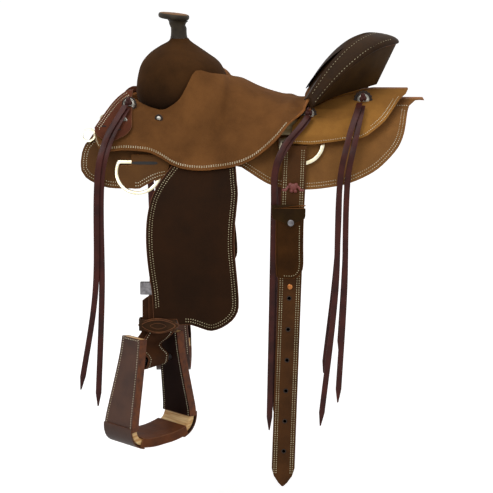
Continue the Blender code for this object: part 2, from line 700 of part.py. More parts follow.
def make_dees(side):
    name = SIDE_NAMES[side]
    outer, inner = dee_lines(*FRONT_DEE)
    panel("front_dee_" + name, outer, SKIRT_THICK + GAP, DEE_THICK, NICKEL, side, levels=[], hole=inner)
    outer, inner = dee_lines(*REAR_DEE)
    panel("rear_dee_" + name, outer, 0.0106, DEE_THICK - 0.0002, NICKEL, side,
          levels=[0.008, -0.010], hole=inner)
    x, z, radius = BREAST_DEE
    hinge = on_flank(x + radius - BREAST_DEE_WIRE / 2, z, BREAST_DEE_LIFT + BREAST_DEE_WIRE / 2)
    joint_frame("breast_dee_pivot_" + name, side, hinge)
    outer = circle(x, z, radius, 16, stretch=0.8)
    inner = circle(x, z, radius - BREAST_DEE_WIRE, 16, stretch=0.8)
    panel("breast_dee_" + name, outer, BREAST_DEE_LIFT, BREAST_DEE_WIRE, NICKEL, side,
          levels=[0.020, 0.034], parent="breast_dee_pivot_" + name, hole=inner)


# The fender, the stirrup leather, its buckle and hobble strap

FENDER_LINE = outline([(-0.100, 0.012, 1), (-0.128, -0.008), (-0.148, -0.030), (-0.173, -0.063),
                       (-0.188, -0.093), (-0.196, -0.130), (-0.1975, -0.168), (-0.195, -0.207),
                       (-0.190, -0.246), (-0.184, -0.286), (-0.1805, -0.3405, 1), (-0.132, -0.3405, 1),
                       (-0.1275, -0.352, 1), (-0.102, -0.352), (-0.077, -0.360), (-0.059, -0.364),
                       (-0.037, -0.357), (-0.016, -0.342), (-0.004, -0.323), (-0.002, -0.302),
                       (-0.004, -0.270), (-0.008, -0.231), (-0.012, -0.191), (-0.012, -0.153),
                       (-0.009, -0.116), (-0.007, -0.084), (-0.010, -0.059), (-0.013, -0.031),
                       (-0.018, -0.008), (-0.034, 0.012, 1)], 0.030)

LOOP_R = 0.0135          # the leather's bend round the stirrup bolt
LEATHER_THICK = 0.0036
RUN_APART = 0.0085       # between the stirrup leather's two runs
TWIST_TOP = -0.367       # the strap starts to turn towards the stirrup here


def strap_twist(spot, side):
    """Turns the strap's foot round the upright line through the stirrup bolt."""
    part = min(1.0, max(0.0, (TWIST_TOP - spot.z) / 0.045))
    angle = STIRRUP_TWIST[side] * part * part * (3 - 2 * part)
    middle = Vector((STIRRUP_X[side], -STIRRUP_Y, 0))
    away = spot - middle
    c, s = math.cos(angle), math.sin(angle)
    return Vector((middle.x + away.x * c - away.y * s, middle.y + away.x * s + away.y * c, spot.z))


def make_stirrup_leather(side, parent):
    """Down the fender's back, round the stirrup bolt and up again, as one strap."""
    path = []
    for z in (-0.135, -0.19, -0.25, -0.31, TWIST_TOP, -0.377, -0.388, -0.402):
        path.append((-on_fender(0, z, FENDER_INNER - GAP - LEATHER_THICK - RUN_APART).y, z, 0.0))
    path.append((STIRRUP_Y - LOOP_R, BOLT_Z + 0.012, 0.35))
    for k in range(7):
        a = math.pi + math.pi * k / 6
        path.append((STIRRUP_Y + LOOP_R * math.cos(a), BOLT_Z + LOOP_R * math.sin(a), 0.5))
    path.append((STIRRUP_Y + LOOP_R, BOLT_Z + 0.012, 0.7))
    for z in (-0.402, -0.388, -0.377, TWIST_TOP, -0.33, -0.292):
        path.append((-on_fender(0, z, FENDER_INNER - GAP - LEATHER_THICK).y, z, 1.0))
    rings = []
    for i, (y, z, part) in enumerate(path):
        before, after = path[max(i - 1, 0)], path[min(i + 1, len(path) - 1)]
        along = Vector((0, -(after[0] - before[0]), after[1] - before[1])).normalized()
        square = Vector((0, along.z, -along.y))
        left = -0.2055 + 0.014 * part
        right = -0.1385
        ease = min(1.0, max(0.0, (TWIST_TOP - z) / 0.030))
        shift = (STIRRUP_X[side] + 0.172) * ease
        ring = []
        middle = (left + right) / 2
        for x, t in ((left, 0), (middle, 0), (right, 0), (right, 1), (middle, 1), (left, 1)):
            spot = Vector((x + shift, -y, z)) + square * (t * LEATHER_THICK)
            ring.append(strap_twist(spot, side))
        rings.append(ring)
    make_node("stirrup_leather_" + SIDE_NAMES[side], loft(rings), STRAP_LEATHER, side, parent)


def band(name, x_low, x_high, y_low, y_high, z_low, z_high, wall, material, side, parent, corner=0.003):
    """A closed band round a strap, seen from above as a rounded oblong."""
    rings = []
    for z in (z_low, z_high):
        for grow in (0.0, wall):
            ring = []
            for sx, sy, start in ((1, 1, 0), (-1, 1, 90), (-1, -1, 180), (1, -1, 270)):
                for k in range(3):
                    a = math.radians(start + 45 * k)
                    cx = (x_high - corner) if sx > 0 else (x_low + corner)
                    cy = (y_high - corner) if sy > 0 else (y_low + corner)
                    r = corner + grow
                    ring.append(Vector((cx + r * math.cos(a), cy + r * math.sin(a), z)))
            rings.append(ring)
    bm = sleeve([rings[1], rings[3]], [rings[0], rings[2]])
    return make_node(name, bm, material, side, parent)


def make_fender_group(side):
    name = SIDE_NAMES[side]
    pivot = "fender_pivot_" + name
    joint_frame(pivot, side, on_flank(FENDER_PIVOT_X[side], FENDER_PIVOT_Z, FENDER_INNER))
    panel("fender_" + name, FENDER_LINE, FENDER_INNER, FENDER_THICK, DARK_LEATHER, side, on_fender,
          CURVE_LEVELS + HANG_LEVELS, pivot)
    make_stirrup_leather(side, pivot)
    back_run = FENDER_INNER - GAP - LEATHER_THICK - RUN_APART
    z_low, z_high = -0.3660, -0.3415
    middle = (z_low + z_high) / 2
    front, back = on_fender(0, middle, FENDER_INNER - GAP).y, on_fender(0, middle, back_run).y
    band("hobble_strap_" + name, -0.2090, -0.1350, front - 0.0025, back + 0.0025, z_low, z_high, 0.003,
         COVER_LEATHER, side, pivot)
    z_low, z_high = -0.292, -0.266
    middle = (z_low + z_high) / 2
    front, back = on_fender(0, middle, back_run + LEATHER_THICK).y, on_fender(0, middle, back_run).y
    band("leather_buckle_" + name, -0.2085, -0.1355, front - 0.0020, back + 0.0020, z_low, z_high, 0.0016,
         STEEL, side, pivot, 0.0015)


# The stirrup, in its own upright plane: w runs from the rear leg to the front leg

def stirrup_spot(w, d, z, side):
    c, s = math.cos(STIRRUP_TWIST[side]), math.sin(STIRRUP_TWIST[side])
    tilt = math.atan(STIRRUP_LEAN[side])
    drop = z - BOLT_Z
    w, drop = w * math.cos(tilt) - drop * math.sin(tilt), drop * math.cos(tilt) + w * math.sin(tilt)
    return Vector((STIRRUP_X[side] - w * c + d * s, -STIRRUP_Y - w * s - d * c, BOLT_Z + drop))


STIRRUP_PATH = [(0.0480, -0.3700), (0.0530, -0.410), (0.0625, -0.460), (0.0735, -0.512), (0.0790, -0.540),
                (0.0800, -0.557), (0.0755, -0.5695), (0.0655, -0.577), (0.0500, -0.581), (0.0250, TREAD_Z),
                (0.0, TREAD_Z)]
STIRRUP_DEPTHS = [0.047, 0.051, 0.059, 0.068, 0.073, 0.075, 0.076, 0.077, 0.078, 0.078, 0.078]
STIRRUP_WOOD = 0.013
COVERED = 6              # the leg covers follow this many points of the path


def stirrup_rings(side, path, depths, low, high, grow):
    """Oblong sections along a path; low and high are the walls inside and outside it."""
    rings = []
    for i, ((w, z), depth) in enumerate(zip(path, depths)):
        before, after = path[max(i - 1, 0)], path[min(i + 1, len(path) - 1)]
        along = Vector((after[0] - before[0], after[1] - before[1])).normalized()
        out = Vector((-along.y, along.x))
        half = depth / 2 + grow
        ring = []
        for t, d in ((low, -half), (low, half), (high, half), (high, -half)):
            ring.append(stirrup_spot(w + out.x * t, d, z + out.y * t, side))
        rings.append(ring)
    return rings


def mirrored_path(path, depths):
    back = [(-w, z) for w, z in reversed(path[:-1])]
    return path + back, depths + list(reversed(depths[:-1]))


def make_stirrup(side):
    name = SIDE_NAMES[side]
    pivot = "stirrup_pivot_" + name
    joint_frame(pivot, side, (STIRRUP_X[side], -STIRRUP_Y, BOLT_Z))
    path, depths = mirrored_path(STIRRUP_PATH, STIRRUP_DEPTHS)
    wood = loft(stirrup_rings(side, path, depths, 0.0, STIRRUP_WOOD, 0.0))
    frame = make_node("stirrup_frame_" + name, wood, PALE_WOOD, side, pivot)
    covers = []
    for leg, turn in (("front", 1), ("rear", -1)):
        part = [(w * turn, z) for w, z in STIRRUP_PATH[:COVERED]]
        walls = (-0.0032, STIRRUP_WOOD + 0.0032) if turn == 1 else (-STIRRUP_WOOD - 0.0032, 0.0032)
        hollow = (-0.0008, STIRRUP_WOOD + 0.0008) if turn == 1 else (-STIRRUP_WOOD - 0.0008, 0.0008)
        outer = stirrup_rings(side, part, STIRRUP_DEPTHS[:COVERED], *walls, 0.0034)
        inner = stirrup_rings(side, part, STIRRUP_DEPTHS[:COVERED], *hollow, 0.0008)
        covers.append(make_node("stirrup_cover_%s_%s" % (leg, name), sleeve(outer, inner), COVER_LEATHER,
                                side, pivot))
    low = [(w, z) for w, z in path if z < -0.576]
    low_depths = [d for (w, z), d in zip(path, depths) if z < -0.576]
    outer = stirrup_rings(side, low, low_depths, -0.0032, STIRRUP_WOOD + 0.0032, 0.0034)
    inner = stirrup_rings(side, low, low_depths, -0.0006, STIRRUP_WOOD + 0.0006, 0.0006)
    make_node("tread_cover_" + name, sleeve(outer, inner), TREAD_LEATHER, side, pivot)
    reach_w = 0.0552 + STIRRUP_WOOD
    ends = [stirrup_spot(w, 0, BOLT_Z, side) for w in (-reach_w + 0.001, reach_w - 0.001)]
    make_node("stirrup_bolt_" + name, rod(ends[0], ends[1], BOLT_R), STEEL, side, pivot)
    wide = [stirrup_spot(w, 0, BOLT_Z, side) for w in (-reach_w, reach_w)]
    hole = make_node("cut_bolt_" + name, rod(wide[0], wide[1], BOLT_R + GAP), STEEL, side, pivot, cutter=True)
    for piece in [frame] + covers:
        cut(piece, hole)


# The back billet and the pouch sewn to the near one

BILLET_LEAN = {NEAR: 0.0285, OFF: 0.045}     # the billets hang a little forward of upright


def billet_mid(z, side=NEAR):
    return 0.110 + z * BILLET_LEAN[side]


BILLET_TOP = 0.0105
BILLET_TIP = -0.732
BILLET_OUTER = 0.0150    # inner face of the strap's front run, and outer face of its back run
BILLET_BACK = 0.0103
BILLET_HOLES = 6
BILLET_HOLE_TOP = -0.309
BILLET_HOLE_STEP = 0.0684
BILLET_HOLE_R = 0.0032


def make_billet(side):
    name = SIDE_NAMES[side]
    pivot = "billet_pivot_" + name
    joint_frame(pivot, side, on_flank(BILLET_PIVOT_X[side], BILLET_PIVOT_Z, 0.0125))
    half = BILLET_WIDTH / 2
    path = []

    def add(y, z, width=half):
        path.append((y, z, billet_mid(z, side) - width, billet_mid(z, side) + width))

    for z in (-0.050, -0.025, BILLET_TOP - 0.004):
        add(reach(z, BILLET_BACK), z)
    bend = (BILLET_OUTER - BILLET_BACK) / 2
    top = on_flank(0, BILLET_TOP - 0.004, BILLET_BACK + bend)
    for angle in (150, 100, 50):
        across = bend * 1.13 * math.cos(math.radians(angle))
        add(-top.y + across, top.z + bend * math.sin(math.radians(angle)))
    for z in (BILLET_TOP - 0.006, -0.015, -0.035, -0.060, -0.085, -0.110, -0.260, -0.480, -0.690):
        add(-on_strap(0, z, BILLET_OUTER).y, z)
    plumb = -on_strap(0, BILLET_TIP, BILLET_OUTER).y
    add(plumb, -0.708, half * 0.80)
    add(plumb, -0.724, half * 0.38)
    add(plumb, BILLET_TIP, half * 0.06)
    strap = make_node("back_billet_" + name, ribbon(path, BILLET_THICK), STRAP_LEATHER, side, pivot)
    punches = bmesh.new()
    for k in range(BILLET_HOLES):
        z = BILLET_HOLE_TOP - BILLET_HOLE_STEP * k
        ring = circle(billet_mid(z, side), z, BILLET_HOLE_R, 8)
        ends = [[punches.verts.new((p.x, -y, p.y)) for p in ring] for y in (plumb - 0.01, plumb + 0.01)]
        for i in range(len(ring)):
            j = (i + 1) % len(ring)
            punches.faces.new((ends[0][i], ends[0][j], ends[1][j], ends[1][i]))
        for end in ends:
            punches.faces.new(end)
    cut(strap, make_node("cut_billet_holes_" + name, punches, STRAP_LEATHER, side, cutter=True))


POUCH_TOP = -0.113
POUCH_FLOOR = -0.265
POUCH_DEPTH = 0.013
POUCH_HALF = 0.029
POUCH_MIDDLE = 0.1015
FLAP_THICK = 0.0026
POUCH_WALL = 0.0022


def pouch_face():
    """Distance of the near billet's outer face from the centre plane, where the pouch is sewn on."""
    return -on_strap(0, POUCH_TOP, BILLET_OUTER + BILLET_THICK).y


def make_pouch():
    pivot = "billet_pivot_near"
    base = pouch_face() + GAP
    mid = POUCH_MIDDLE
    left, right = mid - POUCH_HALF, mid + POUCH_HALF
    line = [Vector(p) for p in ((left, POUCH_TOP), (left, POUCH_FLOOR), (mid + 0.018, POUCH_FLOOR),
                                (right, POUCH_FLOOR + 0.022), (right, POUCH_TOP))]
    hollow_line = [Vector(p) for p in ((left + POUCH_WALL, POUCH_TOP + 0.01),
                                       (left + POUCH_WALL, POUCH_FLOOR + POUCH_WALL),
                                       (mid + 0.017, POUCH_FLOOR + POUCH_WALL),
                                       (right - POUCH_WALL, POUCH_FLOOR + 0.023),
                                       (right - POUCH_WALL, POUCH_TOP + 0.01))]
    body = make_node("pouch", wall_solid(line, base, base + POUCH_DEPTH), COVER_LEATHER, parent=pivot)
    hollow = wall_solid(hollow_line, base + POUCH_WALL, base + POUCH_DEPTH - POUCH_WALL)
    cut(body, make_node("cut_pouch", hollow, COVER_LEATHER, cutter=True))
    joint_frame("flap_pivot_near", NEAR, (mid, -(base + 0.0012), POUCH_TOP + 0.004))
    flap_line = outline([(mid - 0.037, POUCH_TOP - 0.001, 1), (mid - 0.036, -0.134), (mid - 0.014, -0.142),
                         (mid + 0.003, -0.152), (mid + 0.014, -0.142), (mid + 0.032, -0.133),
                         (mid + 0.033, POUCH_TOP - 0.001, 1)], 0.012)
    front = base + POUCH_DEPTH + GAP
    flap = make_node("pouch_flap", wall_solid(flap_line, front, front + FLAP_THICK), COVER_LEATHER,
                     parent="flap_pivot_near")
    top_line = [Vector((mid + x, z)) for x, z in ((-0.037, POUCH_TOP - 0.003), (-0.036, POUCH_TOP + GAP),
                                                  (-0.034, POUCH_TOP + 0.003), (0.032, POUCH_TOP + 0.003),
                                                  (0.033, POUCH_TOP + GAP), (0.033, POUCH_TOP - 0.003))]
    outside = front + FLAP_THICK
    lid = make_node("join_flap_lid", wall_solid(top_line[1:5], base, outside), COVER_LEATHER, cutter=True)
    face = make_node("join_flap_face", wall_solid(top_line, front, outside), COVER_LEATHER, cutter=True)
    cut(flap, face, "UNION")
    cut(flap, lid, "UNION")


def wall_solid(line, low, high):
    """An upright slab on the near side, between two distances from the centre plane."""
    bm = flat_face(line)
    thicken(bm, lambda x, z, offset: Vector((x, -offset, z)), low, high - low)
    return bm


# The saddle strings and their conchos

# The outer string's underside over the jockeys, and the height below which it hangs plumb
STRING_LIFT = {"front": 0.0400, "middle": 0.0345, "rear": 0.0376}
STRING_HANG = {"front": -0.030, "middle": -0.022, "rear": -0.014}
PAIR_STEP = 0.0036       # the inner string lies this much further in
CONCHOS = {"front": (-0.246, 0.090), "middle": (0.139, 0.072), "rear": (0.254, 0.098)}
CONCHO_R = {"front": 0.0150, "middle": 0.0130, "rear": 0.0160}
# For each pair, the middles of its two strings on the way down, as (x, z)
STRINGS = {
    "front": ([(-0.252, 0.090), (-0.287, 0.023), (-0.303, -0.060), (-0.312, -0.300), (-0.348, -0.518)],
              [(-0.248, 0.083), (-0.273, 0.023), (-0.288, -0.060), (-0.2985, -0.300), (-0.312, -0.556)]),
    "middle": ([(0.1270, 0.060), (0.0890, 0.016), (0.0700, -0.035), (0.0675, -0.110), (0.0655, -0.250),
                (0.0595, -0.606)],
               [(0.1330, 0.058), (0.0990, 0.018), (0.0720, -0.035), (0.0700, -0.110), (0.0690, -0.250),
                (0.0650, -0.560)]),
    "rear": ([(0.246, 0.096), (0.224, 0.035), (0.206, -0.055), (0.199, -0.300), (0.170, -0.594)],
             [(0.252, 0.090), (0.238, 0.032), (0.2215, -0.055), (0.218, -0.300), (0.207, -0.542)]),
}
# The off side's front pair hangs straight down
OFF_FRONT = ([(-0.252, 0.090), (-0.254, 0.023), (-0.2450, -0.060), (-0.240, -0.130), (-0.237, -0.250),
              (-0.235, -0.352)],
             [(-0.248, 0.083), (-0.248, 0.023), (-0.2410, -0.060), (-0.237, -0.130), (-0.234, -0.250),
              (-0.232, -0.338)])
OFF_FRONT_LIFT = 0.0435  # over the off rigging dee
OFF_REAR_STEP = 0.006    # and the off rear pair hangs this much further back


def string_middle(points, z):
    """Where a string's middle line is at height z, eased through its points."""
    for i in range(len(points) - 1):
        (x0, z0), (x1, z1) = points[i], points[i + 1]
        if z >= z1 or i == len(points) - 2:
            before = points[max(i - 1, 0)]
            after = points[min(i + 2, len(points) - 1)]
            t = (z - z0) / (z1 - z0)
            m0 = (x1 - before[0]) / (z1 - before[1]) * (z1 - z0)
            m1 = (after[0] - x0) / (after[1] - z0) * (z1 - z0)
            return (x0 * (2 * t**3 - 3 * t**2 + 1) + m0 * (t**3 - 2 * t**2 + t)
                    + x1 * (3 * t**2 - 2 * t**3) + m1 * (t**3 - t**2))


def string_outline(points):
    """A flat string from its tie to its pointed end."""
    top, foot = points[0][1], points[-1][1]
    heights = [top - (top - foot) * k / 9 for k in range(9)] + [foot + 0.030]
    left = [Vector((string_middle(points, z) - STRING_WIDTH / 2, z)) for z in heights]
    right = [Vector((string_middle(points, z) + STRING_WIDTH / 2, z)) for z in reversed(heights)]
    return left + [Vector((string_middle(points, foot), foot))] + right


def make_strings(side, place_name):
    name = SIDE_NAMES[side]
    first, second = OFF_FRONT if (place_name, side) == ("front", OFF) else STRINGS[place_name]
    if (place_name, side) == ("rear", OFF):
        first, second = [[(px + OFF_REAR_STEP * (pz < 0), pz) for px, pz in line] for line in (first, second)]
    lift = OFF_FRONT_LIFT if (place_name, side) == ("front", OFF) else STRING_LIFT[place_name]

    def on_string(x, z, offset):
        return Vector((x, -eased_drop(z, offset, 0.012, STRING_HANG[place_name], 0.0), z))

    node = panel("strings_%s_%s" % (place_name, name), string_outline(first), lift, STRING_THICK, LATIGO,
                 side, on_string, STRING_LEVELS)
    mate = panel("join_string_%s_%s" % (place_name, name), string_outline(second), lift - PAIR_STEP,
                 STRING_THICK, LATIGO, side, on_string, STRING_LEVELS, cutter=True)
    knot_line = circle(first[0][0] + 0.002, first[0][1] - 0.004, 0.0095, 10, stretch=0.6)
    knot = panel("join_knot_%s_%s" % (place_name, name), knot_line, lift - 0.0032, 0.0076, LATIGO, side,
                 levels=CURVE_LEVELS, cutter=True)
    cut(node, knot, "UNION")
    cut(node, mate, "UNION")


def make_concho(side, place_name):
    x, z = CONCHOS[place_name]
    lift = tab_lift(x, z) + 0.0038 if place_name == "front" else JOCKEY_BAR + JOCKEY_THICK
    lift = lift + 2 * GAP
    radius = CONCHO_R[place_name]
    bm = flat_face(circle(x, z, radius, 16, stretch=1 / math.hypot(1.0, slope_at(z))))
    slice_levels(bm, CURVE_LEVELS)
    thicken(bm, on_flank, lift, 0.0022)
    make_node("concho_%s_%s" % (place_name, SIDE_NAMES[side]), bm, SILVER, side)


bar_cutters = [make_bars(side) for side in (NEAR, OFF)]
make_fork(bar_cutters)
make_horn()
make_cantle(bar_cutters)
make_seat()
for side in (NEAR, OFF):
    make_skirt_group(side)
    make_dees(side)
    make_fender_group(side)
    make_stirrup(side)
    make_billet(side)
    for place_name in CONCHOS:
        make_concho(side, place_name)
        make_strings(side, place_name)
make_pouch()
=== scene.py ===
import bpy
import bmesh
import math
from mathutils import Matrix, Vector


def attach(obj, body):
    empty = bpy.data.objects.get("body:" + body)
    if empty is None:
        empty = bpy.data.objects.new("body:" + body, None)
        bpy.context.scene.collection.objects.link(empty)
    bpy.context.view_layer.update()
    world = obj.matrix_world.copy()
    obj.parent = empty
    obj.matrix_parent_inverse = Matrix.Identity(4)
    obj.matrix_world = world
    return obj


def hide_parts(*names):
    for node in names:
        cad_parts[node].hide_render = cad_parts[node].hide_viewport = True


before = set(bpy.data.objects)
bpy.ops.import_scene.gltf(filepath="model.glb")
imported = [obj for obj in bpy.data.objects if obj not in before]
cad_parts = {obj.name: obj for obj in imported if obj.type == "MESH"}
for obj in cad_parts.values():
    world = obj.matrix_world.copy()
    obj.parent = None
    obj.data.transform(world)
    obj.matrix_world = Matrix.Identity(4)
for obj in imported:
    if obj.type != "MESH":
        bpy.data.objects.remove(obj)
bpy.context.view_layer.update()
print("frame loaded", len(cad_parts), "nodes")

nearSide = -1
offSide = 1
sideNames = {nearSide: "near", offSide: "off"}

# The camera stands where the photograph's did
view = {"lens": 109.75, "sensor": 36, "place": (0.1727, -3.2955, 0.472), "dip": 12.2, "turn": 3}
cameraData = bpy.data.cameras.new("photoCamera")
cameraData.sensor_width = view["sensor"]
cameraData.lens = view["lens"]
camera = bpy.data.objects.new("photoCamera", cameraData)
camera.location = view["place"]
camera.rotation_euler = (math.radians(90 - view["dip"]), 0, math.radians(view["turn"]))
bpy.context.collection.objects.link(camera)
bpy.context.scene.camera = camera


# Colours and materials

def linear(code):
    values = [int(code[i:i + 2], 16) / 255 for i in (1, 3, 5)]
    return (*[v / 12.92 if v <= 0.04045 else ((v + 0.055) / 1.055)**2.4 for v in values], 1.0)


def addNode(tree, kind, settings=None, **inputs):
    node = tree.nodes.new(kind)
    for key, value in (settings or {}).items():
        setattr(node, key, value)
    for key, value in inputs.items():
        # i0, i1 and so on are sockets by number; any other key is the socket's name
        socket = node.inputs[int(key[1:]) if key[1:].isdigit() else key.replace("_", " ")]
        if isinstance(value, bpy.types.NodeSocket):
            tree.links.new(value, socket)
        else:
            socket.default_value = value
    return node


def blankMaterial(name):
    mat = bpy.data.materials.new(name)
    mat.use_nodes = True
    return mat, mat.node_tree, mat.node_tree.nodes["Principled BSDF"]


def mixColour(tree, factor, a, b, mode="MIX"):
    settings = {"data_type": "RGBA", "blend_type": mode}
    return addNode(tree, "ShaderNodeMix", settings, i0=factor, i6=a, i7=b).outputs[2]


# A value run from low to high onto 0 to 1
def ramp(tree, value, low, high):
    return addNode(tree, "ShaderNodeMapRange", Value=value, From_Min=low, From_Max=high).outputs["Result"]


def setShader(tree, shader, colour, rough, bump=None):
    tree.links.new(colour, shader.inputs["Base Color"])
    if isinstance(rough, bpy.types.NodeSocket):
        tree.links.new(rough, shader.inputs["Roughness"])
    else:
        shader.inputs["Roughness"].default_value = rough
    if bump:
        tree.links.new(bump.outputs["Normal"], shader.inputs["Normal"])


def leather(spec):
    mat, tree, shader = blankMaterial(spec["name"])
    dark, light = linear(spec["dark"]), linear(spec["light"])
    place = addNode(tree, "ShaderNodeTexCoord").outputs["Object"]
    broad = addNode(tree, "ShaderNodeTexNoise", Vector=place, Scale=spec["patches"], Detail=4.0,
                    Roughness=0.6).outputs["Fac"]
    fine = addNode(tree, "ShaderNodeTexNoise", Vector=place, Scale=spec["grain"], Detail=3.0,
                   Roughness=0.7).outputs["Fac"]
    colour = mixColour(tree, ramp(tree, broad, 0.34, 0.66), dark, light)
    colour = mixColour(tree, spec["speckle"], colour,
                       mixColour(tree, ramp(tree, fine, 0.3, 0.7), dark, light))
    apart = addNode(tree, "ShaderNodeSeparateXYZ", Vector=place)
    # Painted shade: shade and frontShade darken the colour towards the low end of a height or x range
    for key, axis, shadow in (("shade", "Z", (0.008, 0.005, 0.004, 1)),
                              ("frontShade", "X", (0.02, 0.008, 0.006, 1))):
        if key in spec:
            low, high, strength = spec[key]
            fade = ramp(tree, apart.outputs[axis], low, high)
            colour = mixColour(tree, fade, mixColour(tree, strength, colour, shadow), colour)
    rough = addNode(tree, "ShaderNodeMapRange", Value=broad, To_Min=spec["rough"] - 0.07,
                    To_Max=spec["rough"] + 0.07).outputs["Result"]
    shader.inputs["Sheen Weight"].default_value = spec.get("sheen", 0.0)
    shader.inputs["Sheen Roughness"].default_value = 0.5
    shader.inputs["Sheen Tint"].default_value = light
    shader.inputs["Specular IOR Level"].default_value = spec.get("shine", 0.35)
    wrinkle = addNode(tree, "ShaderNodeTexNoise", Vector=place, Scale=spec["patches"] * 5, Detail=3.0)
    folds = addNode(tree, "ShaderNodeBump", Height=wrinkle.outputs["Fac"], Distance=0.0012,
                    Strength=spec["bump"])
    nap = addNode(tree, "ShaderNodeBump", Height=fine, Distance=0.0004, Strength=spec["bump"],
                  Normal=folds.outputs["Normal"])
    setShader(tree, shader, colour, rough, nap)
    return mat
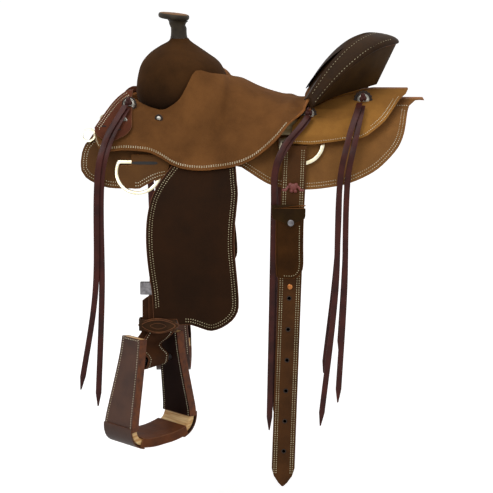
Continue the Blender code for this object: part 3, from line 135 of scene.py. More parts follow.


# Leathers. patches and grain are counts for each metre: 13 makes clouds of about 80 mm, and 700 a nap
# of 1.4 mm, which is twice the real one so that it shows. shade is painted shade, run from a height up to
# another, and frontShade is painted shade along the saddle.
leathers = {
    # Cowhide with the flesh side out: a dull brushed nap in cloudy patches
    "seat": {"name": "roughoutSeat", "dark": "#56361a", "light": "#794f29", "patches": 13, "grain": 700,
             "speckle": 0.35, "rough": 0.9, "sheen": 0.12, "bump": 0.5, "shine": 0.1},
    # The same hide over the fork, painted darker as shade, and darker still below from painted shade
    "swell": {"name": "roughoutSwell", "dark": "#321f0e", "light": "#4a2f17", "patches": 14, "grain": 700,
              "speckle": 0.3, "rough": 0.9, "sheen": 0.15, "bump": 0.5, "shine": 0.06,
              "shade": (0.075, 0.15, 0.75)},
    # The same hide, painted lighter tan as light where it falls on the jockeys
    "jockey": {"name": "roughoutJockey", "dark": "#795026", "light": "#a77536", "patches": 11, "grain": 650,
               "speckle": 0.35, "rough": 0.9, "sheen": 0.12, "bump": 0.5, "shine": 0.1},
    # The same hide, tan behind, and darker and redder in front from painted shade
    "skirt": {"name": "roughoutSkirt", "dark": "#664426", "light": "#916435", "patches": 10, "grain": 650,
              "speckle": 0.4, "rough": 0.9, "sheen": 0.1, "bump": 0.6, "shine": 0.1,
              "frontShade": (-0.2, 0.14, 0.55)},
    # Oiled flesh-out hide, redder, with a finer nap
    "tab": {"name": "roughoutTab", "dark": "#482519", "light": "#663723", "patches": 18, "grain": 650,
            "speckle": 0.3, "rough": 0.85, "sheen": 0.1, "bump": 0.5, "shine": 0.1},
    # The hide's cut and rubbed edge: orange tan, slightly closed
    "edge": {"name": "cutEdge", "dark": "#7c4a1e", "light": "#a8692e", "patches": 60, "grain": 900,
             "speckle": 0.3, "rough": 0.7, "bump": 0.4},
    # The same edge, dyed
    "darkEdge": {"name": "darkCutEdge", "dark": "#55311a", "light": "#7d4a26", "patches": 60, "grain": 900,
                 "speckle": 0.3, "rough": 0.7, "bump": 0.4},
    # Oiled skirting, nearly black brown, dull
    "fender": {"name": "fenderLeather", "dark": "#22140a", "light": "#321d0e", "patches": 9, "grain": 420,
               "speckle": 0.25, "rough": 0.72, "bump": 0.35, "shine": 0.06},
    # Oiled harness leather with a little grease in its grain
    "billet": {"name": "billetLeather", "dark": "#35200e", "light": "#56351a", "patches": 16, "grain": 500,
               "speckle": 0.3, "rough": 0.75, "bump": 0.4, "shine": 0.1},
    # Dyed flesh-out hide, dull
    "pouch": {"name": "pouchLeather", "dark": "#301c0a", "light": "#482b11", "patches": 22, "grain": 500,
              "speckle": 0.3, "rough": 0.8, "bump": 0.4, "shine": 0.06},
    # Dyed grain-side leather, pulled tight over the roll
    "roll": {"name": "cantleRollLeather", "dark": "#21140a", "light": "#382410", "patches": 15,
             "grain": 380, "speckle": 0.2, "rough": 0.55, "bump": 0.35, "shine": 0.08},
    # Dyed grain-side leather, drier than the roll
    "back": {"name": "cantleBackLeather", "dark": "#2c1d10", "light": "#483217", "patches": 12,
             "grain": 380, "speckle": 0.2, "rough": 0.6, "bump": 0.35, "shine": 0.08},
    # Latigo, dyed oxblood: waxy, with a soft sheen
    "string": {"name": "oxbloodString", "dark": "#2a100d", "light": "#4e211a", "patches": 20, "grain": 420,
               "speckle": 0.2, "rough": 0.42, "bump": 0.25, "shine": 0.22},
    # The same latigo, polished where it is pulled tight
    "knot": {"name": "oxbloodKnot", "dark": "#55241f", "light": "#8a4338", "patches": 40, "grain": 420,
             "speckle": 0.2, "rough": 0.45, "bump": 0.25, "shine": 0.5},
    # Moulded grain leather, buffed: a soft highlight, with painted shade towards the tread
    "cover": {"name": "stirrupCoverLeather", "dark": "#38231a", "light": "#543526", "patches": 14,
              "grain": 350, "speckle": 0.15, "rough": 0.42, "bump": 0.25, "shine": 0.3,
              "shade": (-0.575, -0.53, 0.45)},
    # The cover's inside, painted nearly black as shade
    "inner": {"name": "darkInnerLeather", "dark": "#1a0e0a", "light": "#261611", "patches": 14,
              "grain": 350, "speckle": 0.15, "rough": 0.6, "bump": 0.25, "shine": 0.03},
    # Grain leather scuffed by boots
    "tread": {"name": "treadLeather", "dark": "#4a2814", "light": "#6b3b1e", "patches": 25, "grain": 400,
              "speckle": 0.25, "rough": 0.6, "bump": 0.5, "shine": 0.12},
    # Oiled strap leather
    "strap": {"name": "strapLeather", "dark": "#2c190c", "light": "#462815", "patches": 18, "grain": 420,
              "speckle": 0.25, "rough": 0.7, "bump": 0.35, "shine": 0.08},
    # Mulehide wrap, dark with hand grease
    "horn": {"name": "hornWrapLeather", "dark": "#1f1a16", "light": "#463c2c", "patches": 30, "grain": 500,
             "speckle": 0.2, "rough": 0.5, "bump": 0.5, "shine": 0.2},
    # The cap's top, rubbed back to tan by the rope
    "cap": {"name": "hornCapLeather", "dark": "#5f401c", "light": "#85592a", "patches": 25, "grain": 500,
            "speckle": 0.3, "rough": 0.6, "bump": 0.4, "shine": 0.15},
    # Tooled strap leather
    "hobble": {"name": "hobbleLeather", "dark": "#2c1b0e", "light": "#442c17", "patches": 25, "grain": 450,
               "speckle": 0.3, "rough": 0.6, "bump": 0.4, "shine": 0.12},
    # The pouch's flap, darker than the pouch
    "flap": {"name": "pouchFlapLeather", "dark": "#241608", "light": "#38260c", "patches": 22, "grain": 500,
             "speckle": 0.3, "rough": 0.8, "bump": 0.4, "shine": 0.08},
    # The cover's layered edge, dyed and burnished
    "coverEdge": {"name": "stirrupCoverEdge", "dark": "#33190c", "light": "#703a16", "patches": 70,
                  "grain": 800, "speckle": 0.3, "rough": 0.65, "bump": 0.4},
    # Thin dyed leather, scalloped with a punch
    "rosette": {"name": "rosetteLeather", "dark": "#241b16", "light": "#3b2c22", "patches": 40,
                "grain": 500, "speckle": 0.2, "rough": 0.6, "bump": 0.4, "shine": 0.3},
}
paint = {key: leather(spec) for key, spec in leathers.items()}
print("leathers made", len(paint))


def metal(spec):
    mat, tree, shader = blankMaterial(spec["name"])
    place = addNode(tree, "ShaderNodeTexCoord").outputs["Object"]
    wear = addNode(tree, "ShaderNodeTexNoise", Vector=place, Scale=spec["patches"], Detail=5.0,
                   Roughness=0.65).outputs["Fac"]
    colour = mixColour(tree, ramp(tree, wear, 0.35, 0.65), linear(spec["dark"]), linear(spec["light"]))
    rough = addNode(tree, "ShaderNodeMapRange", Value=wear, To_Min=spec["rough"] - 0.06,
                    To_Max=spec["rough"] + 0.08).outputs["Result"]
    shader.inputs["Metallic"].default_value = 1.0
    dents = addNode(tree, "ShaderNodeBump", Height=wear, Distance=0.0003, Strength=0.25)
    setShader(tree, shader, colour, rough, dents)
    return mat


metals = {
    # Cream nickel plate on cast rings, rubbed smooth
    "nickel": {"name": "creamNickel", "dark": "#cfc49f", "light": "#f3ecd2", "patches": 60, "rough": 0.28},
    # Stamped nickel silver, darkened in its hollows
    "silver": {"name": "antiqueSilver", "dark": "#77746a", "light": "#d8d5cb", "patches": 260,
               "rough": 0.32},
    # Rolled steel, dulled by handling
    "steel": {"name": "buckleSteel", "dark": "#6d6a6c", "light": "#a5a2a4", "patches": 90, "rough": 0.35},
    # A hammered copper rivet
    "copper": {"name": "copperRivet", "dark": "#9a5a2c", "light": "#d08a50", "patches": 200, "rough": 0.35},
}
for key, spec in metals.items():
    paint[key] = metal(spec)


# Tanned sheepskin with its wool left on: curls of about 8 mm in tufts of 17 mm, dull with a soft sheen
def fleeceMaterial():
    mat, tree, shader = blankMaterial("sheepskinFleece")
    place = addNode(tree, "ShaderNodeTexCoord").outputs["Object"]
    curls = addNode(tree, "ShaderNodeTexVoronoi", Vector=place, Scale=130.0)
    tufts = addNode(tree, "ShaderNodeTexNoise", Vector=place, Scale=60.0, Detail=4.0).outputs["Fac"]
    colour = mixColour(tree, ramp(tree, tufts, 0.3, 0.7), linear("#c9b48c"), linear("#eadfc4"))
    shader.inputs["Sheen Weight"].default_value = 0.5
    waves = addNode(tree, "ShaderNodeBump", Height=tufts, Distance=0.004)
    wool = addNode(tree, "ShaderNodeBump", Height=curls.outputs["Distance"], Distance=0.003,
                   Normal=waves.outputs["Normal"])
    setShader(tree, shader, colour, 0.95, wool)
    return mat


# Sawn wood, varnished, or rawhide stretched over it: fine streaks along the grain, about 4 mm apart
def woodMaterial(name, dark, light, layers):
    mat, tree, shader = blankMaterial(name)
    place = addNode(tree, "ShaderNodeTexCoord").outputs["Object"]
    stretched = addNode(tree, "ShaderNodeMapping", Vector=place, Scale=(18.0, 18.0, 240.0))
    grain = addNode(tree, "ShaderNodeTexNoise", Vector=stretched.outputs["Vector"], Scale=1.0,
                    Detail=6.0).outputs["Fac"]
    colour = mixColour(tree, ramp(tree, grain, 0.35, 0.65), linear(dark), linear(light))
    if layers:
        bands = addNode(tree, "ShaderNodeTexWave", {"bands_direction": "Z"}, Vector=place, Scale=90.0,
                        Distortion=1.5)
        colour = mixColour(tree, 0.12, colour, bands.outputs["Color"], "MULTIPLY")
    setShader(tree, shader, colour, 0.45, addNode(tree, "ShaderNodeBump", Height=grain, Distance=0.0003))
    return mat


# Waxed thread, soiled in clouds of about 40 mm: satin, without a highlight. The same make, nearly black, is
# the painted shadow inside slots.
def threadMaterial(name, dark, light):
    mat, tree, shader = blankMaterial(name)
    place = addNode(tree, "ShaderNodeTexCoord").outputs["Object"]
    soil = addNode(tree, "ShaderNodeTexNoise", Vector=place, Scale=25.0, Detail=3.0).outputs["Fac"]
    colour = mixColour(tree, ramp(tree, soil, 0.35, 0.65), linear(dark), linear(light))
    setShader(tree, shader, colour, 0.7)
    return mat


paint["fleece"] = fleeceMaterial()
paint["wood"] = woodMaterial("laminatedMaple", "#c08a48", "#ecc98e", True)
paint["rawhide"] = woodMaterial("rawhideOverWood", "#b59a68", "#d9c79c", False)
paint["thread"] = threadMaterial("creamThread", "#c9bb98", "#efe6c8")
paint["dimThread"] = threadMaterial("fadedThread", "#a39672", "#cfc29c")
# Painted shadow: a nearly black material for the dark inside a slot
paint["shadow"] = threadMaterial("paintedSlotShadow", "#0b0806", "#120d0a")  # the dark inside a slot
print("materials made", len(paint))


# The horse's flank, which every layer of leather lies on at its own offset, as in the CAD
horse = {
    "ridge": 0.096,  # height where the two flanks meet
    "foot": 0.0,  # below this height the flank is straight
    "steep": 2.5,  # sideways reach for each metre down, at the ridge
    "slant": 0.51,  # and at the foot
}
gap = 0.0004  # air between two layers


def slopeAt(z):
    part = min(1.0, max(0.0, (horse["ridge"] - z) / (horse["ridge"] - horse["foot"])))
    return horse["steep"] + (horse["slant"] - horse["steep"]) * part


def flank(z):
    if z >= horse["ridge"]:
        return -horse["steep"] * (z - horse["ridge"])
    drop = horse["ridge"] - max(z, horse["foot"])
    straight = horse["slant"] * max(0.0, horse["foot"] - z)
    return drop * (horse["steep"] + slopeAt(max(z, horse["foot"]))) / 2 + straight


def reach(z, offset):
    return flank(z) + offset * math.hypot(1.0, slopeAt(z))


def ridgeZ(offset):
    return horse["ridge"] + (offset * math.hypot(1.0, horse["steep"]) - 0.001) / horse["steep"]


def onFlank(x, z, offset):
    return Vector((x, -reach(z, offset), z))


def easedDrop(z, offset, bendZ, hangZ, endSlope):
    if z >= bendZ:
        return reach(z, offset)
    depth = bendZ - hangZ
    inside = min(bendZ - z, depth)
    first = slopeAt(bendZ)
    middle = first + (endSlope - first) * inside / depth
    return reach(bendZ, offset) + inside * (first + middle) / 2 + endSlope * max(0.0, hangZ - z)


def outline(points, step):
    count = len(points)
    spots = [Vector(p[:2]) for p in points]
    corner = [len(p) > 2 for p in points]
    line = []
    for i in range(count):
        a, b = spots[i], spots[(i + 1) % count]
        leave = (b - a) if corner[i] else (b - spots[i - 1]) / 2
        arrive = (b - a) if corner[(i + 1) % count] else (spots[(i + 2) % count] - a) / 2
        pieces = max(1, round((b - a).length / step))
        for k in range(pieces):
            t = k / pieces
            line.append(a * (2 * t**3 - 3 * t**2 + 1) + leave * (t**3 - 2 * t**2 + t)
                        + b * (3 * t**2 - 2 * t**3) + arrive * (t**3 - t**2))
    return line


def inset(line, distance):
    area = sum(a.x * b.y - b.x * a.y for a, b in zip(line, line[1:] + line[:1]))
    turn = 1 if area > 0 else -1
    drawn = []
    for i, spot in enumerate(line):
        along = (line[(i + 1) % len(line)] - line[i - 1]).normalized()
        drawn.append(spot + Vector((-along.y, along.x)) * distance * turn)
    return drawn


def circle(x, z, radius, count, stretch=1.0):
    steps = [2 * math.pi * k / count for k in range(count)]
    return [Vector((x + radius * math.cos(a), z + radius * stretch * math.sin(a))) for a in steps]


def fineCurve(points, parts):
    padded = [points[0], *points, points[-1]]
    fine = []
    for before, a, b, after in zip(padded, padded[1:], padded[2:], padded[3:]):
        for k in range(parts):
            t = k / parts
            fine.append(a + (b - before) * t * 0.5 + (before * 2 - a * 5 + b * 4 - after) * t * t * 0.5
                        + (a * 3 - b * 3 + after - before) * t**3 * 0.5)
    fine.append(points[-1])
    return fine


def fineRows(rows, parts):
    return list(zip(*[fineCurve([row[k] for row in rows], parts) for k in range(len(rows[0]))]))


# Pieces

offForward = 0.034  # the off fender and stirrup hang this much further forward


def offShift(body):
    return -offForward if body.startswith(("fender", "stirrup")) else 0.0


def finishPiece(name, bm, materials, body, side=nearSide, replaced=(), smooth=40):
    if side == offSide:
        for v in bm.verts:
            v.co = (v.co.x + offShift(body), -v.co.y, v.co.z)
    bmesh.ops.recalc_face_normals(bm, faces=bm.faces)
    mesh = bpy.data.meshes.new(name)
    bm.to_mesh(mesh)
    bm.free()
    for key in materials:
        mesh.materials.append(paint[key])
    mesh.shade_smooth()
    mesh.set_sharp_from_angle(angle=math.radians(smooth))
    piece = bpy.data.objects.new(name, mesh)
    bpy.context.collection.objects.link(piece)
    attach(piece, body)
    if replaced:
        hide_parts(*replaced)
    return piece


def roundEdges(bm, width, limit=50, segments=2):
    sharp = [e for e in bm.edges if len(e.link_faces) == 2 and e.calc_face_angle(0) > math.radians(limit)]
    bmesh.ops.bevel(bm, geom=sharp, offset=width, segments=segments, profile=0.6, affect="EDGES",
                    clamp_overlap=True, material=1)


def flatFace(line, hole=None):
    bm = bmesh.new()
    rim = [bm.verts.new((p.x, 0, p.y)) for p in line]
    if hole is None:
        bm.faces.new(rim)
    else:
        inside = [bm.verts.new((p.x, 0, p.y)) for p in hole]
        for i in range(len(rim)):
            j = (i + 1) % len(rim)
            bm.faces.new((rim[i], rim[j], inside[j], inside[i]))
    return bm


def thicken(bm, place, inner, thick):
    grown = bmesh.ops.extrude_face_region(bm, geom=bm.faces[:], use_keep_orig=True)
    outer = {v for v in grown["geom"] if isinstance(v, bmesh.types.BMVert)}
    for face in bm.faces:
        inside = sum(1 for v in face.verts if v in outer)
        face.material_index = 1 if 0 < inside < len(face.verts) else 0
    for v in bm.verts:
        offset = inner(v.co.x, v.co.z) if callable(inner) else inner
        v.co = place(v.co.x, v.co.z, offset + (thick if v in outer else 0.0))


def panel(name, line, inner, thick, materials, body, side=nearSide, place=onFlank, replaced=(), hole=None,
          levels=None, bevel=0.0010):
    bm = flatFace(line, hole)
    top = max(p.y for p in line)
    foot = min(p.y for p in line)
    for level in (levels if levels is not None
                  else [top - 0.006 * k for k in range(1, int((top - foot) / 0.006))]):
        geometry = bm.verts[:] + bm.edges[:] + bm.faces[:]
        bmesh.ops.bisect_plane(bm, geom=geometry, plane_co=(0, 0, level), plane_no=(0, 0, 1), dist=1e-6)
    thicken(bm, place, inner, thick)
    bmesh.ops.remove_doubles(bm, verts=bm.verts, dist=2e-5)
    bmesh.ops.recalc_face_normals(bm, faces=bm.faces)
    if bevel:
        roundEdges(bm, bevel)
    return finishPiece(name, bm, materials, body, side, replaced)


def gridMesh(bm, rows, closed=False):
    grid = [[bm.verts.new(p) for p in row] for row in rows]
    for low, high in zip(grid, grid[1:]):
        for i in range(len(low) - (0 if closed else 1)):
            j = (i + 1) % len(low)
            bm.faces.new((low[i], low[j], high[j], high[i]))
    return grid


def joinRims(bm, outer, inner, index=0):
    for a, b in ((outer[0], inner[0]), (outer[-1], inner[-1])):
        for i in range(len(a)):
            j = (i + 1) % len(a)
            bm.faces.new((a[i], a[j], b[j], b[i])).material_index = index


def closeEnds(bm, grid):
    for ring in (grid[0], grid[-1]):
        bm.faces.new(ring)


def thickSheet(bm, low, high, facing):
    bmesh.ops.recalc_face_normals(bm, faces=bm.faces)
    bm.normal_update()
    total = sum((f.normal for f in bm.faces), Vector())
    turn = 1 if total.dot(Vector(facing)) > 0 else -1
    layer = bm.verts.layers.float_vector.new("outward")
    for v in bm.verts:
        v[layer] = v.normal * turn
    grown = bmesh.ops.extrude_face_region(bm, geom=bm.faces[:], use_keep_orig=True)
    outer = {v for v in grown["geom"] if isinstance(v, bmesh.types.BMVert)}
    for face in bm.faces:
        inside = sum(1 for v in face.verts if v in outer)
        face.material_index = 1 if 0 < inside < len(face.verts) else 0
    for v in bm.verts:
        v.co = v.co + Vector(v[layer]) * (high if v in outer else low)


def turned(spot, lean, profile, count=16):
    c, s = math.cos(lean), math.sin(lean)
    rings = []
    for radius, height in profile:
        angles = [2 * math.pi * k / count for k in range(count)]
        flat = [(radius * math.cos(a), radius * math.sin(a)) for a in angles]
        rings.append([spot + Vector((x * c + height * s, y, height * c - x * s)) for x, y in flat])
    return rings


# A row of stitches: from one to the next, how long each is and half its thread's width
def stitchRow(bm, path, step=0.0050, long=0.0036, radius=0.0013):
    travelled = 0.0
    target = step / 2
    for a, b in zip(path, path[1:]):
        size = (b[0] - a[0]).length
        while size > 1e-9 and travelled + size >= target:
            t = (target - travelled) / size
            spot = a[0].lerp(b[0], t)
            up = a[1].lerp(b[1], t).normalized()
            along = (b[0] - a[0]).normalized()
            across = along.cross(up).normalized()
            ends = [bm.verts.new(spot + along * s - up * radius * 0.5) for s in (-long / 2, long / 2)]
            ring = [bm.verts.new(spot + across * radius * c + up * radius * s)
                    for c, s in ((-1, -0.2), (0, 0.9), (1, -0.2))]
            for k in range(3):
                j = (k + 1) % 3
                bm.faces.new((ends[0], ring[k], ring[j]))
                bm.faces.new((ends[1], ring[j], ring[k]))
            target += step
        travelled += size


def surfacePath(line, place, offset):
    path = []
    for p in line:
        spot = place(p.x, p.y, offset)
        path.append((spot, place(p.x, p.y, offset + 0.001) - spot))
    return path


def stitches(name, rows, body, side, key="thread"):
    bm = bmesh.new()
    for path in rows:
        stitchRow(bm, path)
    return finishPiece(name, bm, [key], body, side)


def seams(name, line, distances, keep, lift, side):
    rows = [surfacePath(row, onFlank, lift) for distance in distances
            for row in runs(inset(line, distance), keep)]
    stitches(name, rows, "saddle", side)


def runs(line, keep):
    rows, current = [], []
    for p in line + line[:1]:
        if keep(p):
            current.append(p)
        elif current:
            rows.append(current)
            current = []
    if current:
        rows.append(current)
    return [row for row in rows if len(row) > 2]


# Skirts, rear jockeys and front tabs

skirt = {
    "thick": 0.006,
    "fleece": 0.015,  # the sheepskin's thickness
    "fleeceTop": 0.076,  # above this the two linings would meet over the spine
    "rows": (0.0060, 0.0120),  # the two stitch rows, from the edge
    # x and z round the edge; a third value marks a corner
    "line": outline([(-0.250, 0.062, 1), (-0.292, 0.054), (-0.316, 0.036), (-0.328, 0.018), (-0.336, 0.009),
                     (-0.342, -0.008), (-0.3435, -0.024), (-0.341, -0.044), (-0.331, -0.057),
                     (-0.311, -0.068), (-0.290, -0.075), (-0.267, -0.078), (-0.214, -0.077),
                     (-0.205, -0.072), (-0.173, -0.057), (-0.120, -0.050), (-0.060, -0.044),
                     (-0.014, -0.032), (0.008, -0.040), (0.033, -0.055), (0.062, -0.069), (0.100, -0.075),
                     (0.136, -0.077), (0.180, -0.073), (0.228, -0.063), (0.275, -0.042), (0.304, -0.019),
                     (0.328, 0.008), (0.341, 0.036), (0.347, 0.062), (0.354, 0.083), (0.368, 0.0925),
                     (0.388, ridgeZ(0.0) - 0.003, 1), (0.386, ridgeZ(0.0), 1), (0.270, ridgeZ(0.0), 1),
                     (0.215, 0.066, 1)], 0.012),
}
jockey = {
    "thick": 0.0045,
    "hem": 0.0150,  # the underside at the hem
    "overBar": 0.0200,  # and over the tree's bars
    "rows": (0.0050, 0.0105),
}
jockeyRidge = ridgeZ(jockey["overBar"]) - 0.0004
jockey["line"] = outline([(0.278, jockeyRidge, 1), (0.353, jockeyRidge, 1), (0.347, 0.108), (0.334, 0.100),
                          (0.320, 0.084), (0.300, 0.061), (0.275, 0.042), (0.251, 0.028), (0.215, 0.023),
                          (0.179, 0.018), (0.142, 0.014), (0.104, 0.016, 1), (0.104, 0.050, 1),
                          (0.121, 0.066, 1), (0.145, 0.081), (0.159, 0.0875), (0.179, 0.095),
                          (0.206, 0.102), (0.235, 0.108), (0.260, 0.1135)], 0.012)
tab = {
    "thick": 0.0038,
    "rows": (0.0045, 0.0100),
    "line": outline([(-0.2445, 0.1135, 1), (-0.256, 0.1130), (-0.268, 0.107), (-0.281, 0.095),
                     (-0.294, 0.077), (-0.304, 0.061), (-0.314, 0.046), (-0.311, 0.037), (-0.298, 0.025),
                     (-0.276, 0.019), (-0.259, 0.026), (-0.244, 0.034), (-0.235, 0.047), (-0.237, 0.066),
                     (-0.2385, 0.080), (-0.2435, 0.096)], 0.008),
}


def rearJockeyLift(x, z):
    return jockey["hem"] + (jockey["overBar"] - jockey["hem"]) * min(1.0, max(0.0, (z - 0.022) / 0.010))


def skirtGroup(side):
    name = sideNames[side]
    panel("skirt_leather_" + name, skirt["line"], 0.0, skirt["thick"], ["skirt", "edge"], "saddle", side,
          replaced=("skirt_" + name,))
    seams("skirt_stitches_" + name, skirt["line"], skirt["rows"],
          lambda p: p.y < 0.050 or 0.30 < p.x < 0.352 and p.y < 0.084, skirt["thick"] + 0.0002, side)
    fleece = [p for p in inset(skirt["line"], 0.004) if p.y < skirt["fleeceTop"]]
    panel("skirt_fleece_" + name, fleece, -skirt["fleece"] - 0.001, skirt["fleece"], ["fleece", "fleece"],
          "saddle", side, replaced=("skirt_lining_" + name,), bevel=0.004)
    panel("jockey_leather_" + name, jockey["line"], rearJockeyLift, jockey["thick"], ["jockey", "edge"],
          "saddle", side, replaced=("rear_jockey_" + name,))

    def onJockey(x, z, offset):
        return onFlank(x, z, rearJockeyLift(x, z) + jockey["thick"] + offset)

    rows = []
    for distance in jockey["rows"]:
        for row in runs(inset(jockey["line"], distance), lambda p: p.y < 0.030 + (p.x - 0.104) * 0.41
                        and p.y < 0.104):
            row = [p for p in row if distance < 0.006 or p.x > 0.262]
            rows.append(surfacePath(row, onJockey, 0.0002))
    stitches("jockey_stitches_" + name, rows, "saddle", side)
    panel("tab_leather_" + name, tab["line"], tabLift, tab["thick"], ["tab", "darkEdge"], "saddle", side,
          replaced=("front_tab_" + name,))
    seams("tab_stitches_" + name, tab["line"], tab["rows"], lambda p: p.x < -0.250 and p.y > 0.040,
          tabLift + 0.0040, side)


def riggingLeather(side):
    # The skirt's own layer that the front dee's bar and rear arc run behind
    name = sideNames[side]
    x, z, radius = deeSizes["front"][:3]
    lift = skirt["thick"] + gap + deeSizes["thick"] + 0.0002
    inner = radius - deeSizes["width"] - 0.0018
    arc = [Vector((x + inner * math.cos(a), z + deeSizes["roundness"] * inner * math.sin(a)))
           for a in [math.radians(turn) for turn in range(165, 250, 5)]]
    arc = [p for p in arc if p.y > -0.0760]
    hem = [p for p in inset(skirt["line"], 0.0004) if -0.233 < p.x < -0.150 and p.y < -0.02]
    line = [Vector((-0.2345, -0.010)), Vector((-0.2345, -0.0305))] + arc + hem + [Vector((-0.148, -0.010))]
    panel("rigging_leather_" + name, line, lift, 0.0028, ["skirt", "edge"], "saddle", side)
    rows = []
    for distance in skirt["rows"]:
        row = [p for p in inset(skirt["line"], distance) if -0.236 < p.x < -0.152 and p.y < -0.02]
        rows.append(surfacePath(row, onFlank, lift + 0.0031))
    stitches("rigging_stitches_" + name, rows, "saddle", side)
    # A thin nearly black sheet: painted shadow under the strap's edge above the dee's bar
    slot = [Vector((-0.2065 + 0.0275 * math.copysign(abs(math.cos(a))**0.4, math.cos(a)),
                    -0.0262 + 0.0030 * math.copysign(abs(math.sin(a))**0.6, math.sin(a))))
            for a in [2 * math.pi * k / 40 for k in range(40)]]
    panel("rigging_slot_" + name, slot, lift + 0.0029, 0.0003, ["shadow", "shadow"], "saddle", side,
          levels=[], bevel=0)


# Rigging dees
deeSizes = {
    # x, z, outer radius, and the heights of its bar and of its plate
    "front": (-0.219, -0.042, 0.0505, -0.0285, -0.0210),
    "rear": (0.124, 0.018, 0.0490, 0.0185, 0.0255),
    "breast": (-0.330, 0.027, 0.0160),  # x, z and radius
    "breastWire": 0.0042,
    "breastLift": skirt["thick"] + 0.0012,
    "roundness": 0.94,  # height for width of the two large rings
    "thick": 0.0038,
    "width": 0.0072,
}


def deeEdges(x, z, radius, barZ, plateZ, count=72):
    rings = [circle(x, z, r, count, deeSizes["roundness"]) for r in (radius, radius - deeSizes["width"])]
    outer = [Vector((p.x, min(p.y, plateZ))) for p in rings[0]]
    inner = [Vector((p.x, min(p.y, barZ))) for p in rings[1]]
    return outer, inner


def dees(side):
    name = sideNames[side]
    outer, inner = deeEdges(*deeSizes["front"])
    panel("front_dee_ring_" + name, outer, skirt["thick"] + gap, deeSizes["thick"], ["nickel", "nickel"],
          "saddle", side, replaced=("front_dee_" + name,), hole=inner, levels=[], bevel=0.0015)
    outer, inner = deeEdges(*deeSizes["rear"])
    panel("rear_dee_ring_" + name, outer, 0.0106, deeSizes["thick"] - 0.0002, ["nickel", "nickel"],
          "saddle", side, replaced=("rear_dee_" + name,), hole=inner,
          levels=[0.012, 0.008, 0.004, -0.002, -0.010], bevel=0.0015)
    x, z, radius = deeSizes["breast"]
    outer = circle(x, z, radius, 40, stretch=0.8)
    inner = circle(x, z, radius - deeSizes["breastWire"], 40, stretch=0.8)
    panel("breast_dee_ring_" + name, outer, deeSizes["breastLift"], deeSizes["breastWire"],
          ["nickel", "nickel"], "breast_dee_" + name, side, replaced=("breast_dee_" + name,), hole=inner,
          levels=[0.016, 0.020, 0.024, 0.028, 0.032, 0.036], bevel=0.0014)


# The fork's cover
swell = {
    # height, front x, rear x and half width of each level
    "levels": [(0.068, -0.214, -0.090, 0.088), (0.078, -0.231, -0.068, 0.101),
               (0.095, -0.2395, -0.054, 0.112), (0.120, -0.2405, -0.046, 0.119),
               (0.145, -0.237, -0.047, 0.118), (0.170, -0.229, -0.060, 0.108),
               (0.190, -0.213, -0.086, 0.086), (0.205, -0.192, -0.107, 0.056),
               (0.216, -0.172, -0.1215, 0.029), (0.223, -0.1665, -0.1275, 0.0205)],
    "power": 2 / 2.3,  # rounder than an ellipse
}


def swellSpot(z, front, rear, half, angle, grow):
    c, s = math.cos(angle), math.sin(angle)
    long = (rear - front) / 2 + grow
    x = (rear + front) / 2 + long * math.copysign(abs(c)**swell["power"], c)
    return Vector((x, -(half + grow) * math.copysign(abs(s)**swell["power"], s), z))


def swellPoint(z, angle, grow=0.0):
    for low, high in zip(swell["levels"], swell["levels"][1:]):
        if z <= high[0] or high is swell["levels"][-1]:
            break
    t = (z - low[0]) / (high[0] - low[0])
    return swellSpot(z, *[low[k] + (high[k] - low[k]) * t for k in (1, 2, 3)], math.radians(angle), grow)


def makeSwell():
    keys = [Vector(ring[:3]) for ring in swell["levels"]]
    halves = [Vector((ring[3], 0, 0)) for ring in swell["levels"]]
    levels = list(zip(fineCurve(keys, 5), fineCurve(halves, 5)))
    count = 72

    def ring(level, grow):
        (z, front, rear), half = level[0], level[1].x
        return [swellSpot(z, front, rear, half, 2 * math.pi * k / count, grow) for k in range(count)]

    bm = bmesh.new()
    outer = gridMesh(bm, [ring(level, 0.0) for level in levels], closed=True)
    inner = gridMesh(bm, [ring(level, -0.004) for level in levels], closed=True)
    joinRims(bm, outer, inner)
    cover = finishPiece("swell_leather", bm, ["swell", "edge"], "saddle", replaced=("fork_cover",),
                        smooth=50)
    angles = [math.radians(180 * k / 24) for k in range(25)]
    arch = [(0.060 * math.cos(a), 0.065 + 0.047 * math.sin(a)) for a in angles]
    arch = [(0.060, 0.03), *arch, (-0.060, 0.03)]
    cutter = bmesh.new()
    gridMesh(cutter, [[Vector((x, y, z)) for y, z in arch] for x in (-0.30, -0.02)], closed=True)
    bmesh.ops.holes_fill(cutter, edges=[e for e in cutter.edges if e.is_boundary])
    bmesh.ops.recalc_face_normals(cutter, faces=cutter.faces)
    mesh = bpy.data.meshes.new("gulletCutter")
    cutter.to_mesh(mesh)
    cutter.free()
    tool = bpy.data.objects.new("gulletCutter", mesh)
    bpy.context.collection.objects.link(tool)
    cut = cover.modifiers.new("gullet", "BOOLEAN")
    cut.operation = "DIFFERENCE"
    cut.solver = "EXACT"
    cut.object = tool
    bpy.context.view_layer.update()
    done = bpy.data.meshes.new_from_object(cover.evaluated_get(bpy.context.evaluated_depsgraph_get()))
    cover.modifiers.clear()
    cover.data = done
    bpy.data.objects.remove(tool, do_unlink=True)
    for key in ("swell", "edge"):
        if paint[key].name not in done.materials:
            done.materials.append(paint[key])


# Cantle roll and back
cantle = {
    "halfWidth": 0.130,
    "end": (0.124, 0.083),  # x and z of its two ends
    "top": (0.277, 0.232),  # x and z of its middle
    # round the rim from end to end
    "angles": [-73, -70, -65, -58, -49, -38, -26, -12, 0, 12, 26, 38, 49, 58, 65, 70, 73],
    # where the back meets the jockeys, from the near end to the middle
    "foot": [(0.132, -0.111, 0.078), (0.137, -0.103, 0.083), (0.146, -0.092, 0.087), (0.160, -0.079, 0.094),
             (0.180, -0.063, 0.101), (0.207, -0.046, 0.108), (0.235, -0.031, 0.114), (0.262, -0.015, 0.120),
             (0.281, 0.0, 0.124)],
    # the roll's lip over the seat's edge
    "lip": [(0.0005, 0.0010), (-0.0110, 0.0026), (-0.0110, 0.0050), (0.0010, 0.0042)],
}


